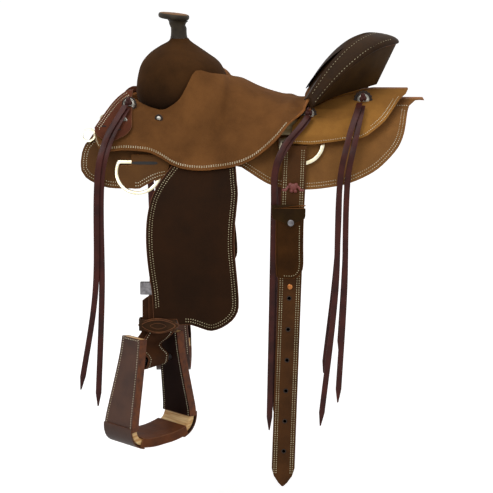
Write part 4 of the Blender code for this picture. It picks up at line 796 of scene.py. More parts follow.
def rimPoint(angle):
    across = abs(math.sin(math.radians(angle)))
    x = cantle["end"][0] + (cantle["top"][0] - cantle["end"][0]) * max(0.0, 1 - across**1.2) ** 0.87
    z = cantle["end"][1] + (cantle["top"][1] - cantle["end"][1]) * max(0.0, 1 - across**2.2) ** 0.75
    return Vector((x, cantle["halfWidth"] * math.sin(math.radians(angle)), z))


def rimOutward(angle):
    ahead = rimPoint(min(angle + 2, 90)) - rimPoint(max(angle - 2, -90))
    return Vector((ahead.y, -ahead.x, 0)).normalized()


def rollFrame(angle):
    middle = math.cos(math.radians(angle)) ** 2
    width = 0.023 + 0.031 * middle
    dip = math.radians(50 - 38 * middle)
    out = rimOutward(angle)
    along = out * math.cos(dip) - Vector((0, 0, math.sin(dip)))
    square = out * math.sin(dip) + Vector((0, 0, math.cos(dip)))
    return width, along, square


def seatEdge(angle):
    return rimPoint(angle) - rimOutward(angle) * 0.003 - Vector((0, 0, 0.004))


def footPoint(index):
    if index < len(cantle["foot"]):
        return Vector(cantle["foot"][index])
    x, y, z = cantle["foot"][2 * (len(cantle["foot"]) - 1) - index]
    return Vector((x, -y, z))


def backRows(start, end):
    rows = []
    for index, angle in enumerate(cantle["angles"]):
        width, along, square = rollFrame(angle)
        foot = footPoint(index)
        lean = rimPoint(angle) + along * 0.88 * width - square * 0.0125 - foot
        rows.append([foot + lean * (start + (end - start) * k / 4) for k in range(5)])
    return rows


def makeCantle():
    sections = []
    for angle in cantle["angles"]:
        width, along, square = rollFrame(angle)
        out = rimOutward(angle)
        side = math.sin(math.radians(angle))**2
        rim = rimPoint(angle) + out * (0.0030 + 0.0030 * side)
        section = [(-0.0060, 0.0040), (0.12 * width, 0.0056), (0.30 * width, 0.0062),
                   (0.50 * width, 0.0062), (0.65 * width, 0.0056), (0.80 * width, 0.0038),
                   (0.92 * width, 0.0010), (0.98 * width, -0.0022), (width, -0.0050),
                   (0.98 * width, -0.0072), (0.93 * width, -0.0085), (0.75 * width, -0.0086),
                   (0.55 * width, -0.0085), (0.30 * width, -0.0065), (0.0070, -0.0040), (0.0020, 0.0010)]
        ring = [rim + along * s + square * t for s, t in section]
        slant = math.radians(22 + 46 * (abs(angle) / 79)**1.6)
        climb = out * math.sin(slant) + Vector((0, 0, math.cos(slant)))
        facing = Vector((0, 0, math.sin(slant))) - out * math.cos(slant)
        sections.append(ring + [seatEdge(angle) + climb * s + facing * t for s, t in cantle["lip"]])
    count = len(sections[0])
    bm = bmesh.new()
    closeEnds(bm, gridMesh(bm, fineRows(sections, 5), closed=True))
    bm.faces.ensure_lookup_table()
    for index, face in enumerate(bm.faces):
        if index % count in (9, 10):
            face.material_index = 1
    finishPiece("cantle_roll_leather", bm, ["roll", "edge"], "saddle", replaced=("cantle_roll",), smooth=45)
    bm = bmesh.new()
    gridMesh(bm, [fineCurve(row, 3) for row in fineRows(backRows(0.02, 1.05), 5)])
    thickSheet(bm, 0.0, 0.0035, (1, 0, 0))
    bmesh.ops.recalc_face_normals(bm, faces=bm.faces)
    roundEdges(bm, 0.0008, limit=60)
    finishPiece("cantle_back_leather", bm, ["back", "darkEdge"], "saddle", nearSide, ("cantle_back",), 50)
    bm = bmesh.new()
    for side in (-1, 1):
        for share, lift, tip in ((0.10, 0.0058, 0), (0.86, 0.0029, 1)):
            path = []
            for k in range(60):
                angle = side * (3 + 67 * k / 59)
                width, along, square = rollFrame(angle)
                swellOut = 0.0030 + 0.0030 * math.sin(math.radians(angle))**2
                rim = rimPoint(angle) + rimOutward(angle) * swellOut
                path.append((rim + along * share * width + square * lift,
                             (square + along * tip).normalized()))
            stitchRow(bm, path, step=0.0078, long=0.0042, radius=0.0007)
    finishPiece("roll_stitches", bm, ["dimThread"], "saddle")


# The seat, one leather from the fork's front to the cantle
seat = {
    "thick": 0.005,
    "lift": 0.021,  # the jockeys' underside over the flank in front
    "rearLift": 0.0405,  # and behind
    # the part in front of the fork: x, top and hem
    "wing": [(-0.314, 0.042, 0.031), (-0.303, 0.064, 0.0035), (-0.279, 0.082, -0.001),
             (-0.256, 0.096, 0.001), (-0.240, 0.098, 0.001), (-0.220, 0.089, 0.0), (-0.196, 0.081, -0.003)],
    # beside the fork: height and angle there, then x and z of the hem
    "roundSwell": [(0.079, 103, -0.173, -0.012), (0.088, 93, -0.150, -0.025), (0.105, 86, -0.132, -0.032),
                   (0.132, 80, -0.115, -0.0355), (0.163, 67, -0.097, -0.037), (0.156, 45, -0.078, -0.037),
                   (0.150, 22, -0.060, -0.035), (0.143, 0, -0.034, -0.032)],
    # over the ground seat: x, height, then x and z of the hem
    "open": [(-0.010, 0.1365, -0.006, -0.026), (0.022, 0.121, 0.022, -0.014), (0.050, 0.110, 0.048, 0.007),
             (0.080, 0.101, 0.073, 0.033), (0.101, 0.0975, 0.094, 0.058)],
    # up the cantle: x, height and angle on its rim
    "upCantle": [(0.117, 0.0965, -88), (0.136, 0.097, -80), (0.157, 0.101, -70), (0.181, 0.109, -59),
                 (0.204, 0.122, -47), (0.228, 0.141, -35), (0.246, 0.167, -23), (0.260, 0.196, -11),
                 (0.2705, 0.2215, -4)],
}
tabLift = seat["lift"] + seat["thick"] + 0.0030  # the front tabs lie on the seat's wings


def seatLift(x):
    return seat["lift"] + (seat["rearLift"] - seat["lift"]) * min(1.0, max(0.0, (x - 0.03) / 0.05))


def seatEnds():
    ends = []
    for x, high, low in seat["wing"]:
        a, b = onFlank(x, high, seat["lift"] + seat["thick"]), onFlank(x, low, seat["lift"] + seat["thick"])
        ends.append((a, b, Vector((0, -slopeAt(high), -1)), Vector((0, -slopeAt(low), -1))))
    steep = Vector((0, -0.30, -1))
    for z, angle, x, low in seat["roundSwell"]:
        a = swellPoint(z, angle, seat["thick"] + 0.0030)
        b = onFlank(x, low, seat["lift"] + seat["thick"])
        side = math.sin(math.radians(angle)) ** 2
        level = Vector((0.15, -1, -0.06))
        ends.append((a, b, steep * side + level * (1 - side), Vector((0, -horse["slant"], -1))))
    for x, high, edgeX, low in seat["open"]:
        b = onFlank(edgeX, low, seatLift(edgeX) + seat["thick"])
        ends.append((Vector((x, 0, high)), b, Vector((0, -1, 0)), Vector((0, -slopeAt(low), -1))))
    for x, high, angle in seat["upCantle"]:
        b = seatEdge(angle)
        climb = Vector((0.25, -1, 2.2)) * (1 + angle / 90) + Vector((0, -1, 0.15)) * (-angle / 90)
        ends.append((Vector((x, 0, high)), b, Vector((0, -1, 0)), climb))
    return ends


def clearOfBars(spot):
    tilt = math.hypot(1.0, slopeAt(spot.z))
    lift = (-spot.y - flank(spot.z)) / tilt
    short = seat["lift"] + seat["thick"] + 0.0008 - lift
    if short <= 0 or spot.y > -0.085:
        return spot
    return spot + Vector((0, -1, slopeAt(spot.z))) * (short / tilt)


def seatRows(count, start=0.0, end=1.0):
    rows = []
    for a, b, leave, arrive in seatEnds():
        size = (b - a).length * 0.44
        c = a + leave.normalized() * size
        d = b - arrive.normalized() * size
        row = []
        for k in range(count):
            t = start + (end - start) * k / (count - 1)
            spot = a * (1 - t)**3 + c * 3 * t * (1 - t)**2 + d * 3 * t * t * (1 - t) + b * t**3
            row.append(clearOfBars(spot))
        rows.append(row)
    return rows


def makeSeat():
    fine = fineRows(seatRows(25), 3)
    bm = bmesh.new()
    for turn in (1, -1):
        gridMesh(bm, [[Vector((p.x, p.y * turn, p.z)) for p in row] for row in fine])
    bmesh.ops.remove_doubles(bm, verts=bm.verts, dist=2e-5)
    thickSheet(bm, -seat["thick"], 0.0, (0, 0, 1))
    bmesh.ops.recalc_face_normals(bm, faces=bm.faces)
    roundEdges(bm, 0.0012, limit=60)
    for face in bm.faces:
        middle = face.calc_center_median()
        rise = 0.104 + 0.30 * max(0.0, middle.x - 0.15)
        upThere = middle.x > 0.128 and middle.z > rise and (middle.z > 0.128 or abs(middle.y) > 0.085)
        if face.material_index == 0 and upThere:
            face.material_index = 2  # the roll's leather, which faces the seat's back
    finishPiece("seat_leather", bm, ["seat", "edge", "roll"], "saddle", replaced=("seat",), smooth=50)
    last = 3 * (len(seat["wing"]) + len(seat["roundSwell"]) + len(seat["open"]) - 1) + 1
    rows = [[], []]
    for i in range(last):
        row = fine[i]
        for which, distance in enumerate((0.0058, 0.0084)):
            left = distance
            k = len(row) - 1
            while k > 0 and (row[k] - row[k - 1]).length < left:
                left -= (row[k] - row[k - 1]).length
                k -= 1
            spot = row[k].lerp(row[k - 1], left / (row[k] - row[k - 1]).length)
            beside = fine[min(i + 1, len(fine) - 1)][k] - fine[max(i - 1, 0)][k]
            up = (row[k] - row[k - 1]).cross(beside).normalized()
            if up.y > 0:
                up = -up
            rows[which].append((spot + up * 0.0003, up))
    for side in sideNames:
        stitches("seat_stitches_" + sideNames[side], rows[:2], "saddle", side)


# Horn
horn = {
    "top": Vector((-0.158, 0.0, 0.2735)),
    "foot": Vector((-0.1480, 0, 0.2109)),
    "shoulder": Vector((-0.1505, 0, 0.2605)),
    "lean": math.radians(6.0),
    "capLift": 0.0030,
}


def makeHorn():
    foot, shoulder, lean = horn["foot"], horn["shoulder"], horn["lean"]
    capTop = horn["top"] + Vector((0, 0, horn["capLift"]))
    outer = turned(foot, 0.0, [(0.0190, 0.0128), (0.0178, 0.018), (0.0172, 0.024), (0.0172, 0.034)], 48)
    outer += turned(shoulder, lean,
                    [(0.0178, -0.0080), (0.0186, -0.0040), (0.0202, -0.0012), (0.0232, 0.0018)], 48)
    inner = turned(foot, 0.0, [(0.0140, 0.0128), (0.0126, 0.022), (0.0128, 0.034)], 48)
    inner += turned(shoulder, lean, [(0.0142, -0.0035), (0.0175, 0.0018)], 48)
    bm = bmesh.new()
    joinRims(bm, gridMesh(bm, outer, closed=True), gridMesh(bm, inner, closed=True))
    finishPiece("horn_neck_leather", bm, ["horn"], "saddle", replaced=("horn_wrap",), smooth=60)
    profile = [(0.0250, -0.0130), (0.0283, -0.0126), (0.0318, -0.0112), (0.0336, -0.0085),
               (0.0340, -0.0055), (0.0334, -0.0025), (0.0318, -0.0008), (0.0290, 0.0000), (0.0150, 0.0002),
               (0.001, 0.0002), (0.001, -0.0040), (0.0272, -0.0040), (0.0298, -0.0052), (0.0294, -0.0090),
               (0.0250, -0.0106)]
    rings = turned(capTop, lean, profile, 56)
    bm = bmesh.new()
    gridMesh(bm, rings + rings[:1], closed=True)
    bmesh.ops.remove_doubles(bm, verts=bm.verts, dist=1e-6)
    bm.faces.ensure_lookup_table()
    topIndex = 6
    for index, face in enumerate(bm.faces):
        face.material_index = 1 if topIndex * 56 <= index < (topIndex + 3) * 56 else 0
    finishPiece("horn_cap_leather", bm, ["horn", "cap"], "saddle", replaced=("horn_cap",), smooth=50)


# Fenders and stirrup leathers
fender = {
    "inner": 0.0155,
    "thick": 0.004,
    "line": outline([(-0.100, 0.012, 1), (-0.128, -0.008), (-0.148, -0.030), (-0.173, -0.063),
                     (-0.188, -0.093), (-0.196, -0.130), (-0.1975, -0.168), (-0.195, -0.207),
                     (-0.190, -0.246), (-0.184, -0.286), (-0.1805, -0.3405, 1), (-0.132, -0.3405, 1),
                     (-0.1275, -0.352, 1), (-0.102, -0.352), (-0.077, -0.360), (-0.059, -0.364),
                     (-0.037, -0.357), (-0.016, -0.342), (-0.004, -0.323), (-0.002, -0.302),
                     (-0.004, -0.270), (-0.008, -0.231), (-0.012, -0.191), (-0.012, -0.153),
                     (-0.009, -0.116), (-0.007, -0.084), (-0.010, -0.059), (-0.013, -0.031),
                     (-0.018, -0.008), (-0.034, 0.012, 1)], 0.012),
}
strap = {
    "bend": 0.0135,  # the leather's bend round the stirrup bolt
    "thick": 0.0036,
    "apart": 0.0085,  # between its two runs
    "twistTop": -0.367,  # it starts to turn towards the stirrup here
}


def onFender(x, z, offset):
    return Vector((x, -easedDrop(z, offset, -0.080, -0.275, 0.09), z))


def fenderGroup(side):
    name = sideNames[side]
    body = "fender_" + name
    panel("fender_leather_" + name, fender["line"], fender["inner"], fender["thick"],
          ["fender", "darkEdge"], body, side, place=onFender, replaced=(body,))
    rows = []
    for distance in (0.0070, 0.0125):
        for row in runs(inset(fender["line"], distance),
                        lambda p: p.y < 0.004 and not (p.y < -0.328 and p.x < -0.1275 + distance)):
            rows.append(surfacePath(row, onFender, fender["inner"] + fender["thick"] + 0.0002))
    stitches("fender_stitches_" + name, rows, body, side, "dimThread")
    for node, key in (("hobble_strap_", "hobble"), ("leather_buckle_", "steel")):
        bpy.data.objects[node + name].data.materials[0] = paint[key]


def strapTwist(spot, side):
    part = min(1.0, max(0.0, (strap["twistTop"] - spot.z) / 0.045))
    angle = stirrup["twist"][side] * part * part * (3 - 2 * part)
    middle = Vector((stirrup["x"][side], -stirrup["y"], 0))
    away = spot - middle
    c, s = math.cos(angle), math.sin(angle)
    return Vector((middle.x + away.x * c - away.y * s, middle.y + away.x * s + away.y * c, spot.z))


def strapRings(side):
    path = []
    backRun = fender["inner"] - gap - strap["thick"] - strap["apart"]
    frontRun = fender["inner"] - gap - strap["thick"]
    for z in (-0.135, -0.19, -0.25, -0.293, -0.305, strap["twistTop"], -0.377, -0.388, -0.402):
        path.append(Vector((-onFender(0, z, backRun).y, z, 0.0)))
    path.append(Vector((stirrup["y"] - strap["bend"], stirrup["bolt"] + 0.012, 0.35)))
    for k in range(7):
        a = math.pi + math.pi * k / 6
        path.append(Vector((stirrup["y"] + strap["bend"] * math.cos(a),
                            stirrup["bolt"] + strap["bend"] * math.sin(a), 0.5)))
    path.append(Vector((stirrup["y"] + strap["bend"], stirrup["bolt"] + 0.012, 0.7)))
    for z in (-0.402, -0.388, -0.377, strap["twistTop"], -0.33, -0.292):
        path.append(Vector((-onFender(0, z, frontRun).y, z, 1.0)))
    path = fineCurve(path, 4)
    rings = []
    for i, (y, z, part) in enumerate(path):
        before, after = path[max(i - 1, 0)], path[min(i + 1, len(path) - 1)]
        along = Vector((0, -(after[0] - before[0]), after[1] - before[1])).normalized()
        square = Vector((0, along.z, -along.y))
        narrow = min(1.0, max(0.0, (z + 0.303) / 0.008)) if part < 0.2 else 0.0
        left = -0.2055 + 0.014 * part + 0.0150 * narrow
        right = -0.1385
        ease = min(1.0, max(0.0, (strap["twistTop"] - z) / 0.030))
        shift = (stirrup["x"][side] + 0.172) * ease
        ring = []
        across = [left + (right - left) * k / 6 for k in range(7)]
        for x, t in [(x, 0) for x in across] + [(x, 1) for x in reversed(across)]:
            spot = Vector((x + shift, -y, z)) + square * (t * strap["thick"])
            ring.append(strapTwist(spot, side))
        rings.append(ring)
    return rings


def makeStrapLeather(side):
    name = sideNames[side]
    rings = strapRings(side)
    bm = bmesh.new()
    closeEnds(bm, gridMesh(bm, rings, closed=True))
    bm.faces.ensure_lookup_table()
    for index, face in enumerate(bm.faces):
        if index % 14 in (6, 13) and index < 14 * (len(rings) - 1):
            face.material_index = 1
    bmesh.ops.recalc_face_normals(bm, faces=bm.faces)
    roundEdges(bm, 0.0007, limit=60)
    finishPiece("stirrup_strap_" + name, bm, ["strap", "darkEdge"], "fender_" + name, side,
                ("stirrup_leather_" + name,), smooth=50)
    rows = []
    for t in (0.10, 0.90):
        row = []
        for ring in rings[32:]:
            spot = ring[0].lerp(ring[6], t)
            up = (ring[0] - ring[13]).normalized()
            if spot.z < -0.366:
                row.append((spot + up * 0.0002, up))
        rows.append(row)
    stitches("strap_stitches_" + name, rows, "fender_" + name, side)


hobble = {
    "low": -0.3660,  # the strap's lower and upper edge
    "high": -0.3415,
    "centre": -0.1705,
    "halfWidth": 0.0425,  # the oval plate on it
    "halfHeight": 0.0165,
    "bow": 0.006,  # how far the plate's ends fall back
    "thick": 0.0030,
}


def makeHobble(side):
    name = sideNames[side]
    middle, centre = (hobble["low"] + hobble["high"]) / 2, hobble["centre"]
    front = -onFender(0, middle, fender["inner"] - gap).y + 0.0025 + 0.0030

    def bowed(x, z, offset):
        return Vector((x, -(front + offset - hobble["bow"] * ((x - centre) / 0.043)**2), z))

    oval = [Vector((centre + hobble["halfWidth"] * math.cos(a),
                    middle + hobble["halfHeight"] * math.sin(a) * (0.62 + 0.38 * math.sin(a)**2)))
            for a in [2 * math.pi * k / 64 for k in range(64)]]
    panel("hobble_plate_" + name, oval, 0.0002, hobble["thick"], ["hobble", "darkEdge"], "fender_" + name,
          side, place=bowed, levels=[], bevel=0.0009)
    for index, size in enumerate((0.86, 0.40)):
        outer = [Vector((centre + (p.x - centre) * size, middle + (p.y - middle) * size)) for p in oval]
        inner = [Vector((centre + (p.x - centre) * size * 0.93, middle + (p.y - middle) * size * 0.88))
                 for p in oval]
        panel("hobble_line_%s_%s" % ("ab"[index], name), outer, 0.0031, 0.0007, ["darkEdge", "hobble"],
              "fender_" + name, side, place=bowed, hole=inner, levels=[], bevel=0)


# Stirrups
stirrup = {
    "x": {nearSide: -0.183, offSide: -0.160},
    "y": 0.279,
    "bolt": -0.428,  # the bolt's height
    "twist": {nearSide: math.radians(52), offSide: math.radians(86)},
    "lean": {nearSide: 0.05, offSide: 0.0},
    # half of the frame's inside: across and height
    "path": [(0.0480, -0.3700), (0.0530, -0.410), (0.0625, -0.460), (0.0735, -0.512), (0.0790, -0.540),
             (0.0800, -0.557), (0.0755, -0.5695), (0.0655, -0.577), (0.0500, -0.581), (0.0250, -0.584),
             (0.0, -0.584)],
    # how deep it is there
    "depths": [0.047, 0.051, 0.059, 0.068, 0.073, 0.075, 0.076, 0.077, 0.078, 0.078, 0.078],
    "wood": 0.013,
}


def stirrupSpot(w, d, z, side):
    c, s = math.cos(stirrup["twist"][side]), math.sin(stirrup["twist"][side])
    tilt = math.atan(stirrup["lean"][side])
    drop = z - stirrup["bolt"]
    w, drop = w * math.cos(tilt) - drop * math.sin(tilt), drop * math.cos(tilt) + w * math.sin(tilt)
    return Vector((stirrup["x"][side] - w * c + d * s, -stirrup["y"] - w * s - d * c,
                   stirrup["bolt"] + drop))


def heading(path, i):
    before, after = path[max(i - 1, 0)], path[min(i + 1, len(path) - 1)]
    along = Vector((after[0] - before[0], after[1] - before[1])).normalized()
    return along, Vector((-along.y, along.x))


def legRings(side, path, depths, low, high, grow):
    rings = []
    for i, ((w, z), depth) in enumerate(zip(path, depths)):
        out = heading(path, i)[1]
        half = depth / 2 + grow
        across = [-half + 2 * half * k / 8 for k in range(9)]
        ring = [stirrupSpot(w + out.x * low, d, z + out.y * low, side) for d in across]
        ring += [stirrupSpot(w + out.x * high, d, z + out.y * high, side) for d in reversed(across)]
        rings.append(ring)
    return rings


def sleeveMesh(bm, outer, inner, sides=()):
    count = len(outer[0])
    joinRims(bm, gridMesh(bm, outer, closed=True), gridMesh(bm, inner, closed=True), 1)
    bm.faces.ensure_lookup_table()
    for index in range(count * (len(outer) - 1)):
        if index % count in sides:
            bm.faces[index].material_index = 1


def finishLeather(bm, bevel, *rest):
    bmesh.ops.recalc_face_normals(bm, faces=bm.faces)
    roundEdges(bm, bevel, limit=60)
    return finishPiece(*rest)


def makeStirrup(side):
    name = sideNames[side]
    body = "stirrup_" + name
    wood = stirrup["wood"]
    keys = [Vector((w, z, d)) for (w, z), d in zip(stirrup["path"], stirrup["depths"])]
    half = fineCurve(keys, 4)
    whole = half + [Vector((-p.x, p.y, p.z)) for p in reversed(half[:-1])]
    bm = bmesh.new()
    rings = legRings(side, [(p.x, p.y) for p in whole], [p.z for p in whole], 0.0, wood, 0.0)
    closeEnds(bm, gridMesh(bm, rings, closed=True))
    finishLeather(bm, 0.0015, "stirrup_wood_" + name, bm, ["wood", "wood"], body, side,
                  ("stirrup_frame_" + name,))
    low = [p for p in whole if p.y < -0.576]
    path, depths = [(p.x, p.y) for p in low], [p.z for p in low]
    bm = bmesh.new()
    sleeveMesh(bm, legRings(side, path, depths, -0.0036, wood + 0.0032, 0.0034),
               legRings(side, path, depths, -0.0006, wood + 0.0006, 0.0006))
    finishLeather(bm, 0.0014, "tread_leather_" + name, bm, ["tread", "darkEdge"], body, side,
                  ("tread_cover_" + name,))
    for leg, turn in (("front", 1), ("rear", -1)):
        legCover(side, leg, turn, half)
        legApron(side, leg, turn, half)
        legStitches(side, leg, turn, half)
    bpy.data.objects["stirrup_bolt_" + name].data.materials[0] = paint["steel"]


def legCover(side, leg, turn, half):
    name, wood = sideNames[side], stirrup["wood"]
    part = [p for p in half if p.y > -0.5575]
    path, depths = [(p.x * turn, p.y) for p in part], [p.z for p in part]
    walls = (-0.0032, wood + 0.0032) if turn == 1 else (-wood - 0.0032, 0.0032)
    hollow = (-0.0008, wood + 0.0008) if turn == 1 else (-wood - 0.0008, 0.0008)
    bm = bmesh.new()
    sleeveMesh(bm, legRings(side, path, depths, *walls, 0.0034),
               legRings(side, path, depths, *hollow, 0.0008), sides=(8, 17))
    bmesh.ops.recalc_face_normals(bm, faces=bm.faces)
    # Faces towards the frame's opening get the inner leather: painted shade, nearly black
    inward = range(0, 8) if turn == 1 else range(9, 17)
    bm.faces.ensure_lookup_table()
    for index in range(18 * (len(path) - 1)):
        if index % 18 in inward:
            bm.faces[index].material_index = 2
    roundEdges(bm, 0.0010, limit=60)
    finishPiece("stirrup_leather_cover_%s_%s" % (leg, name), bm, ["cover", "coverEdge", "inner"],
                "stirrup_" + name, side, ("stirrup_cover_%s_%s" % (leg, name),))


def legApron(side, leg, turn, half):
    # The outer sheet's foot, which wraps down to the tread
    name = sideNames[side]
    part = [p for p in half if -0.5805 < p.y < -0.548]
    out = stirrup["wood"] + 0.0036
    bm = bmesh.new()
    rows = []
    for i, p in enumerate(part):
        along, away = heading(part, i)
        across = [-(p.z / 2 + 0.0030) + (p.z + 0.0060) * k / 16 for k in range(17)]
        wave = [0.0018 * math.sin(k * 1.9) * (i / (len(part) - 1)) for k in range(17)]
        rows.append([stirrupSpot((p.x + away.x * out + along.x * w) * turn, d,
                                 p.y + away.y * out + along.y * w, side) for d, w in zip(across, wave)])
    gridMesh(bm, rows)
    facing = stirrupSpot(1.0 * turn, 0, stirrup["bolt"], side) - stirrupSpot(0, 0, stirrup["bolt"], side)
    thickSheet(bm, 0.0, 0.0026, facing)
    bmesh.ops.recalc_face_normals(bm, faces=bm.faces)
    finishPiece("stirrup_apron_%s_%s" % (leg, name), bm, ["cover", "coverEdge"], "stirrup_" + name, side)


def legStitches(side, leg, turn, half):
    part = [p for p in half if p.y > -0.560]
    out = stirrup["wood"] + 0.0033

    def onCover(p, away, d, ahead=Vector((0, 0))):
        spots = [stirrupSpot((p.x + away.x * r + ahead.x) * turn, d, p.y + away.y * r + ahead.y, side)
                 for r in (out, out + 0.001)]
        return spots[0], spots[1] - spots[0]

    rows = []
    for edge in (-1, 1):
        rows.append([onCover(p, heading(part, i)[1], edge * (p.z / 2 - 0.0022))
                     for i, p in enumerate(part)])
        if turn == -1:
            inside = stirrupSpot(0, 0, 0, side) - stirrupSpot(-1, 0, 0, side)
            rows.append([(stirrupSpot((p.x - 0.0034) * turn, edge * (p.z / 2 - 0.0022), p.y, side), inside)
                         for p in part])
    p = part[0]
    along, away = heading(part, 0)
    rows.append([onCover(p, away, -(p.z / 2 - 0.004) + (p.z - 0.008) * k / 8, along * 0.004)
                 for k in range(9)])
    name = sideNames[side]
    stitches("cover_stitches_%s_%s" % (leg, name), rows, "stirrup_" + name, side)


# Back billets
billet = {
    "width": 0.050,
    "thick": 0.0038,
    "lean": {nearSide: 0.0285, offSide: 0.045},  # they hang a little forward of upright
    "inner": 0.0150,  # inner face of the strap's front run
    "holes": 6,
    "holeTop": -0.309,
    "holeStep": 0.0684,
    "rows": (0.0050, 0.0098),  # two stitch rows, from each edge
    "knot": -0.071,  # heights of the lace knot and the rivet
    "rivet": -0.284,
}


def onStrap(x, z, offset):
    return Vector((x, -easedDrop(z, offset, -0.035, -0.110, 0.0), z))


def billetMid(z, side=nearSide):
    return 0.110 + z * billet["lean"][side]


def billetGroup(side):
    name = sideNames[side]
    bpy.data.objects["back_billet_" + name].data.materials[0] = paint["billet"]
    rows = []
    for turn in (-1, 1):
        for distance in billet["rows"]:
            line = [Vector((billetMid(z, side) + turn * (billet["width"] / 2 - distance), z))
                    for z in [0.004 - 0.706 * k / 90 for k in range(91)]]
            rows.append(surfacePath(line, onStrap, billet["inner"] + billet["thick"] + 0.0004))
    stitches("billet_stitches_" + name, rows, "billet_" + name, side, "dimThread")


def billetFrame(x, z, lift):
    spot = onStrap(x, z, lift)
    return spot, Vector((1, 0, 0)), Vector((0, 0, 1)), Vector((0, -1, 0))


def makeBilletTrim(side):
    name = sideNames[side]
    body = "billet_" + name
    face = billet["inner"] + billet["thick"]
    bm = bmesh.new()
    middle = billetMid(billet["knot"], side)
    for turn in (-1, 1):
        for k in range(9):
            x = middle + turn * (0.0075 + 0.0016 * k)
            z = -0.070 - 0.0010 * k + 0.0016 * math.sin(k * 0.9)
            at = billetFrame(x, z, face)
            turnedOn(bm, at, [(0.0030, 0.0), (0.0030, 0.0010), (0.0016, 0.0022), (0.0002, 0.0024)],
                     count=10)
    for dx, dz, r in ((0, 0, 0.0080), (-0.0058, 0.0045, 0.0048), (0.0058, 0.0045, 0.0048),
                      (-0.0035, -0.0070, 0.0042), (0.0045, -0.0075, 0.0042)):
        at = billetFrame(middle + dx, billet["knot"] + dz, face)
        turnedOn(bm, at, [(r, 0.0), (r * 0.96, 0.0022), (r * 0.75, 0.0040), (r * 0.4, 0.0050),
                          (0.0003, 0.0053)], count=24)
    finishPiece("billet_lace_knot_" + name, bm, ["knot"], body, side)
    bm = bmesh.new()
    at = billetFrame(billetMid(billet["rivet"], side) + 0.0005, billet["rivet"], face)
    turnedOn(bm, at, [(0.0058, 0.0), (0.0056, 0.0010), (0.0042, 0.0020), (0.0016, 0.0026),
                      (0.0003, 0.0027)], count=36)
    finishPiece("billet_rivet_" + name, bm, ["copper"], body, side)
    bm = bmesh.new()
    for k in range(billet["holes"]):
        z = billet["holeTop"] - billet["holeStep"] * k
        at = billetFrame(billetMid(z, side), z, face)
        turnedOn(bm, at, [(0.0052, 0.0), (0.0052, 0.0004), (0.0036, 0.0005), (0.0034, 0.0)], count=28)
    finishPiece("billet_hole_rims_" + name, bm, ["rosette"], body, side)


# The pouch on the near billet
pouch = {
    "top": -0.113,
    "floor": -0.265,
    "depth": 0.013,
    "half": 0.029,  # half its width
    "middle": 0.1015,
    "flap": 0.0026,
}


def pouchFace():
    return -onStrap(0, pouch["top"], billet["inner"] + billet["thick"]).y


def makePouch():
    base = pouchFace() + gap
    mid = pouch["middle"]
    left, right = mid - pouch["half"], mid + pouch["half"]
    front = base + pouch["depth"]
    outlineOf = outline([(left, pouch["top"], 1), (left - 0.0004, -0.190),
                         (left + 0.0010, pouch["floor"] + 0.004), (left + 0.006, pouch["floor"]),
                         (mid + 0.010, pouch["floor"]), (right - 0.006, pouch["floor"] + 0.010),
                         (right, pouch["floor"] + 0.026), (right, -0.190), (right, pouch["top"], 1)], 0.006)
    bm = bmesh.new()
    rings = []
    for t, y in ((0.0, base + 0.0003), (0.0005, base + 0.0016), (0.0045, base + 0.0030),
                 (0.0040, front - 0.0040), (0.0052, front - 0.0014), (0.0085, front)):
        rings.append([Vector((p.x, -y, p.y)) for p in (outlineOf if t == 0 else inset(outlineOf, t))])
    for ring in rings[2:]:
        for p in ring:
            p.z = min(p.z, pouch["top"])
    closeEnds(bm, gridMesh(bm, rings, closed=True))
    first = len(outlineOf)
    bm.faces.ensure_lookup_table()
    for face in bm.faces[:first]:
        face.material_index = 1
    bmesh.ops.recalc_face_normals(bm, faces=bm.faces)
    finishPiece("pouch_leather", bm, ["pouch", "edge"], "billet_near", replaced=("pouch",),
                          smooth=50)
    seam = inset(outlineOf, 0.0085)
    row = [(Vector((p.x, -(front + 0.0002), p.y)), Vector((0, -1, 0))) for p in seam if p.y < -0.150
           and (p.x > right - 0.010 or (p.y < pouch["floor"] + 0.030 and p.x > left + 0.012))]
    stitches("pouch_stitches", [row], "billet_near", nearSide, "dimThread")
    flap = outline([(mid - 0.037, pouch["top"] + 0.001, 1), (mid - 0.0368, -0.124), (mid - 0.034, -0.1355),
                    (mid - 0.022, -0.1385), (mid - 0.010, -0.1440), (mid + 0.003, -0.1520),
                    (mid + 0.012, -0.1440), (mid + 0.022, -0.1380), (mid + 0.0315, -0.1335),
                    (mid + 0.033, -0.122), (mid + 0.033, pouch["top"] + 0.001, 1)], 0.005)

    def overFront(x, z, offset):
        return Vector((x, -(front + gap + offset), z))

    def wrapped(x, z, offset):
        over = max(0.0, min(1.0, (z - pouch["top"] - 0.001) / (pouch["depth"] + 0.004)))
        angle = over * math.pi / 2
        depth = pouch["depth"] + gap
        y = front + gap - depth * math.sin(angle) * over + offset * math.cos(angle)
        return Vector((x, -y, min(z, pouch["top"] + 0.001) + 0.0020 * math.sin(angle)
                       + offset * math.sin(angle)))

    top = [Vector((mid + 0.033, pouch["top"] + 0.0175)), Vector((mid - 0.037, pouch["top"] + 0.0175))]
    line = [p for p in flap if p.y <= pouch["top"] + 0.0011] + top
    panel("pouch_flap_leather", line, 0.0, pouch["flap"], ["flap", "edge"], "pouch_flap", nearSide,
          place=wrapped, replaced=("pouch_flap",), levels=[pouch["top"] + 0.0175 * k / 8 for k in range(8)],
          bevel=0.0006)
    bm = bmesh.new()
    at = (overFront(mid + 0.0025, -0.1430, pouch["flap"]), Vector((1, 0, 0)), Vector((0, 0, 1)),
          Vector((0, -1, 0)))
    turnedOn(bm, at, [(0.0066, 0.0), (0.0066, 0.0008), (0.0058, 0.0014), (0.0040, 0.0012), (0.0034, 0.0026),
                      (0.0014, 0.0033), (0.0003, 0.0034)], count=40)
    finishPiece("pouch_snap", bm, ["steel"], "pouch_flap")


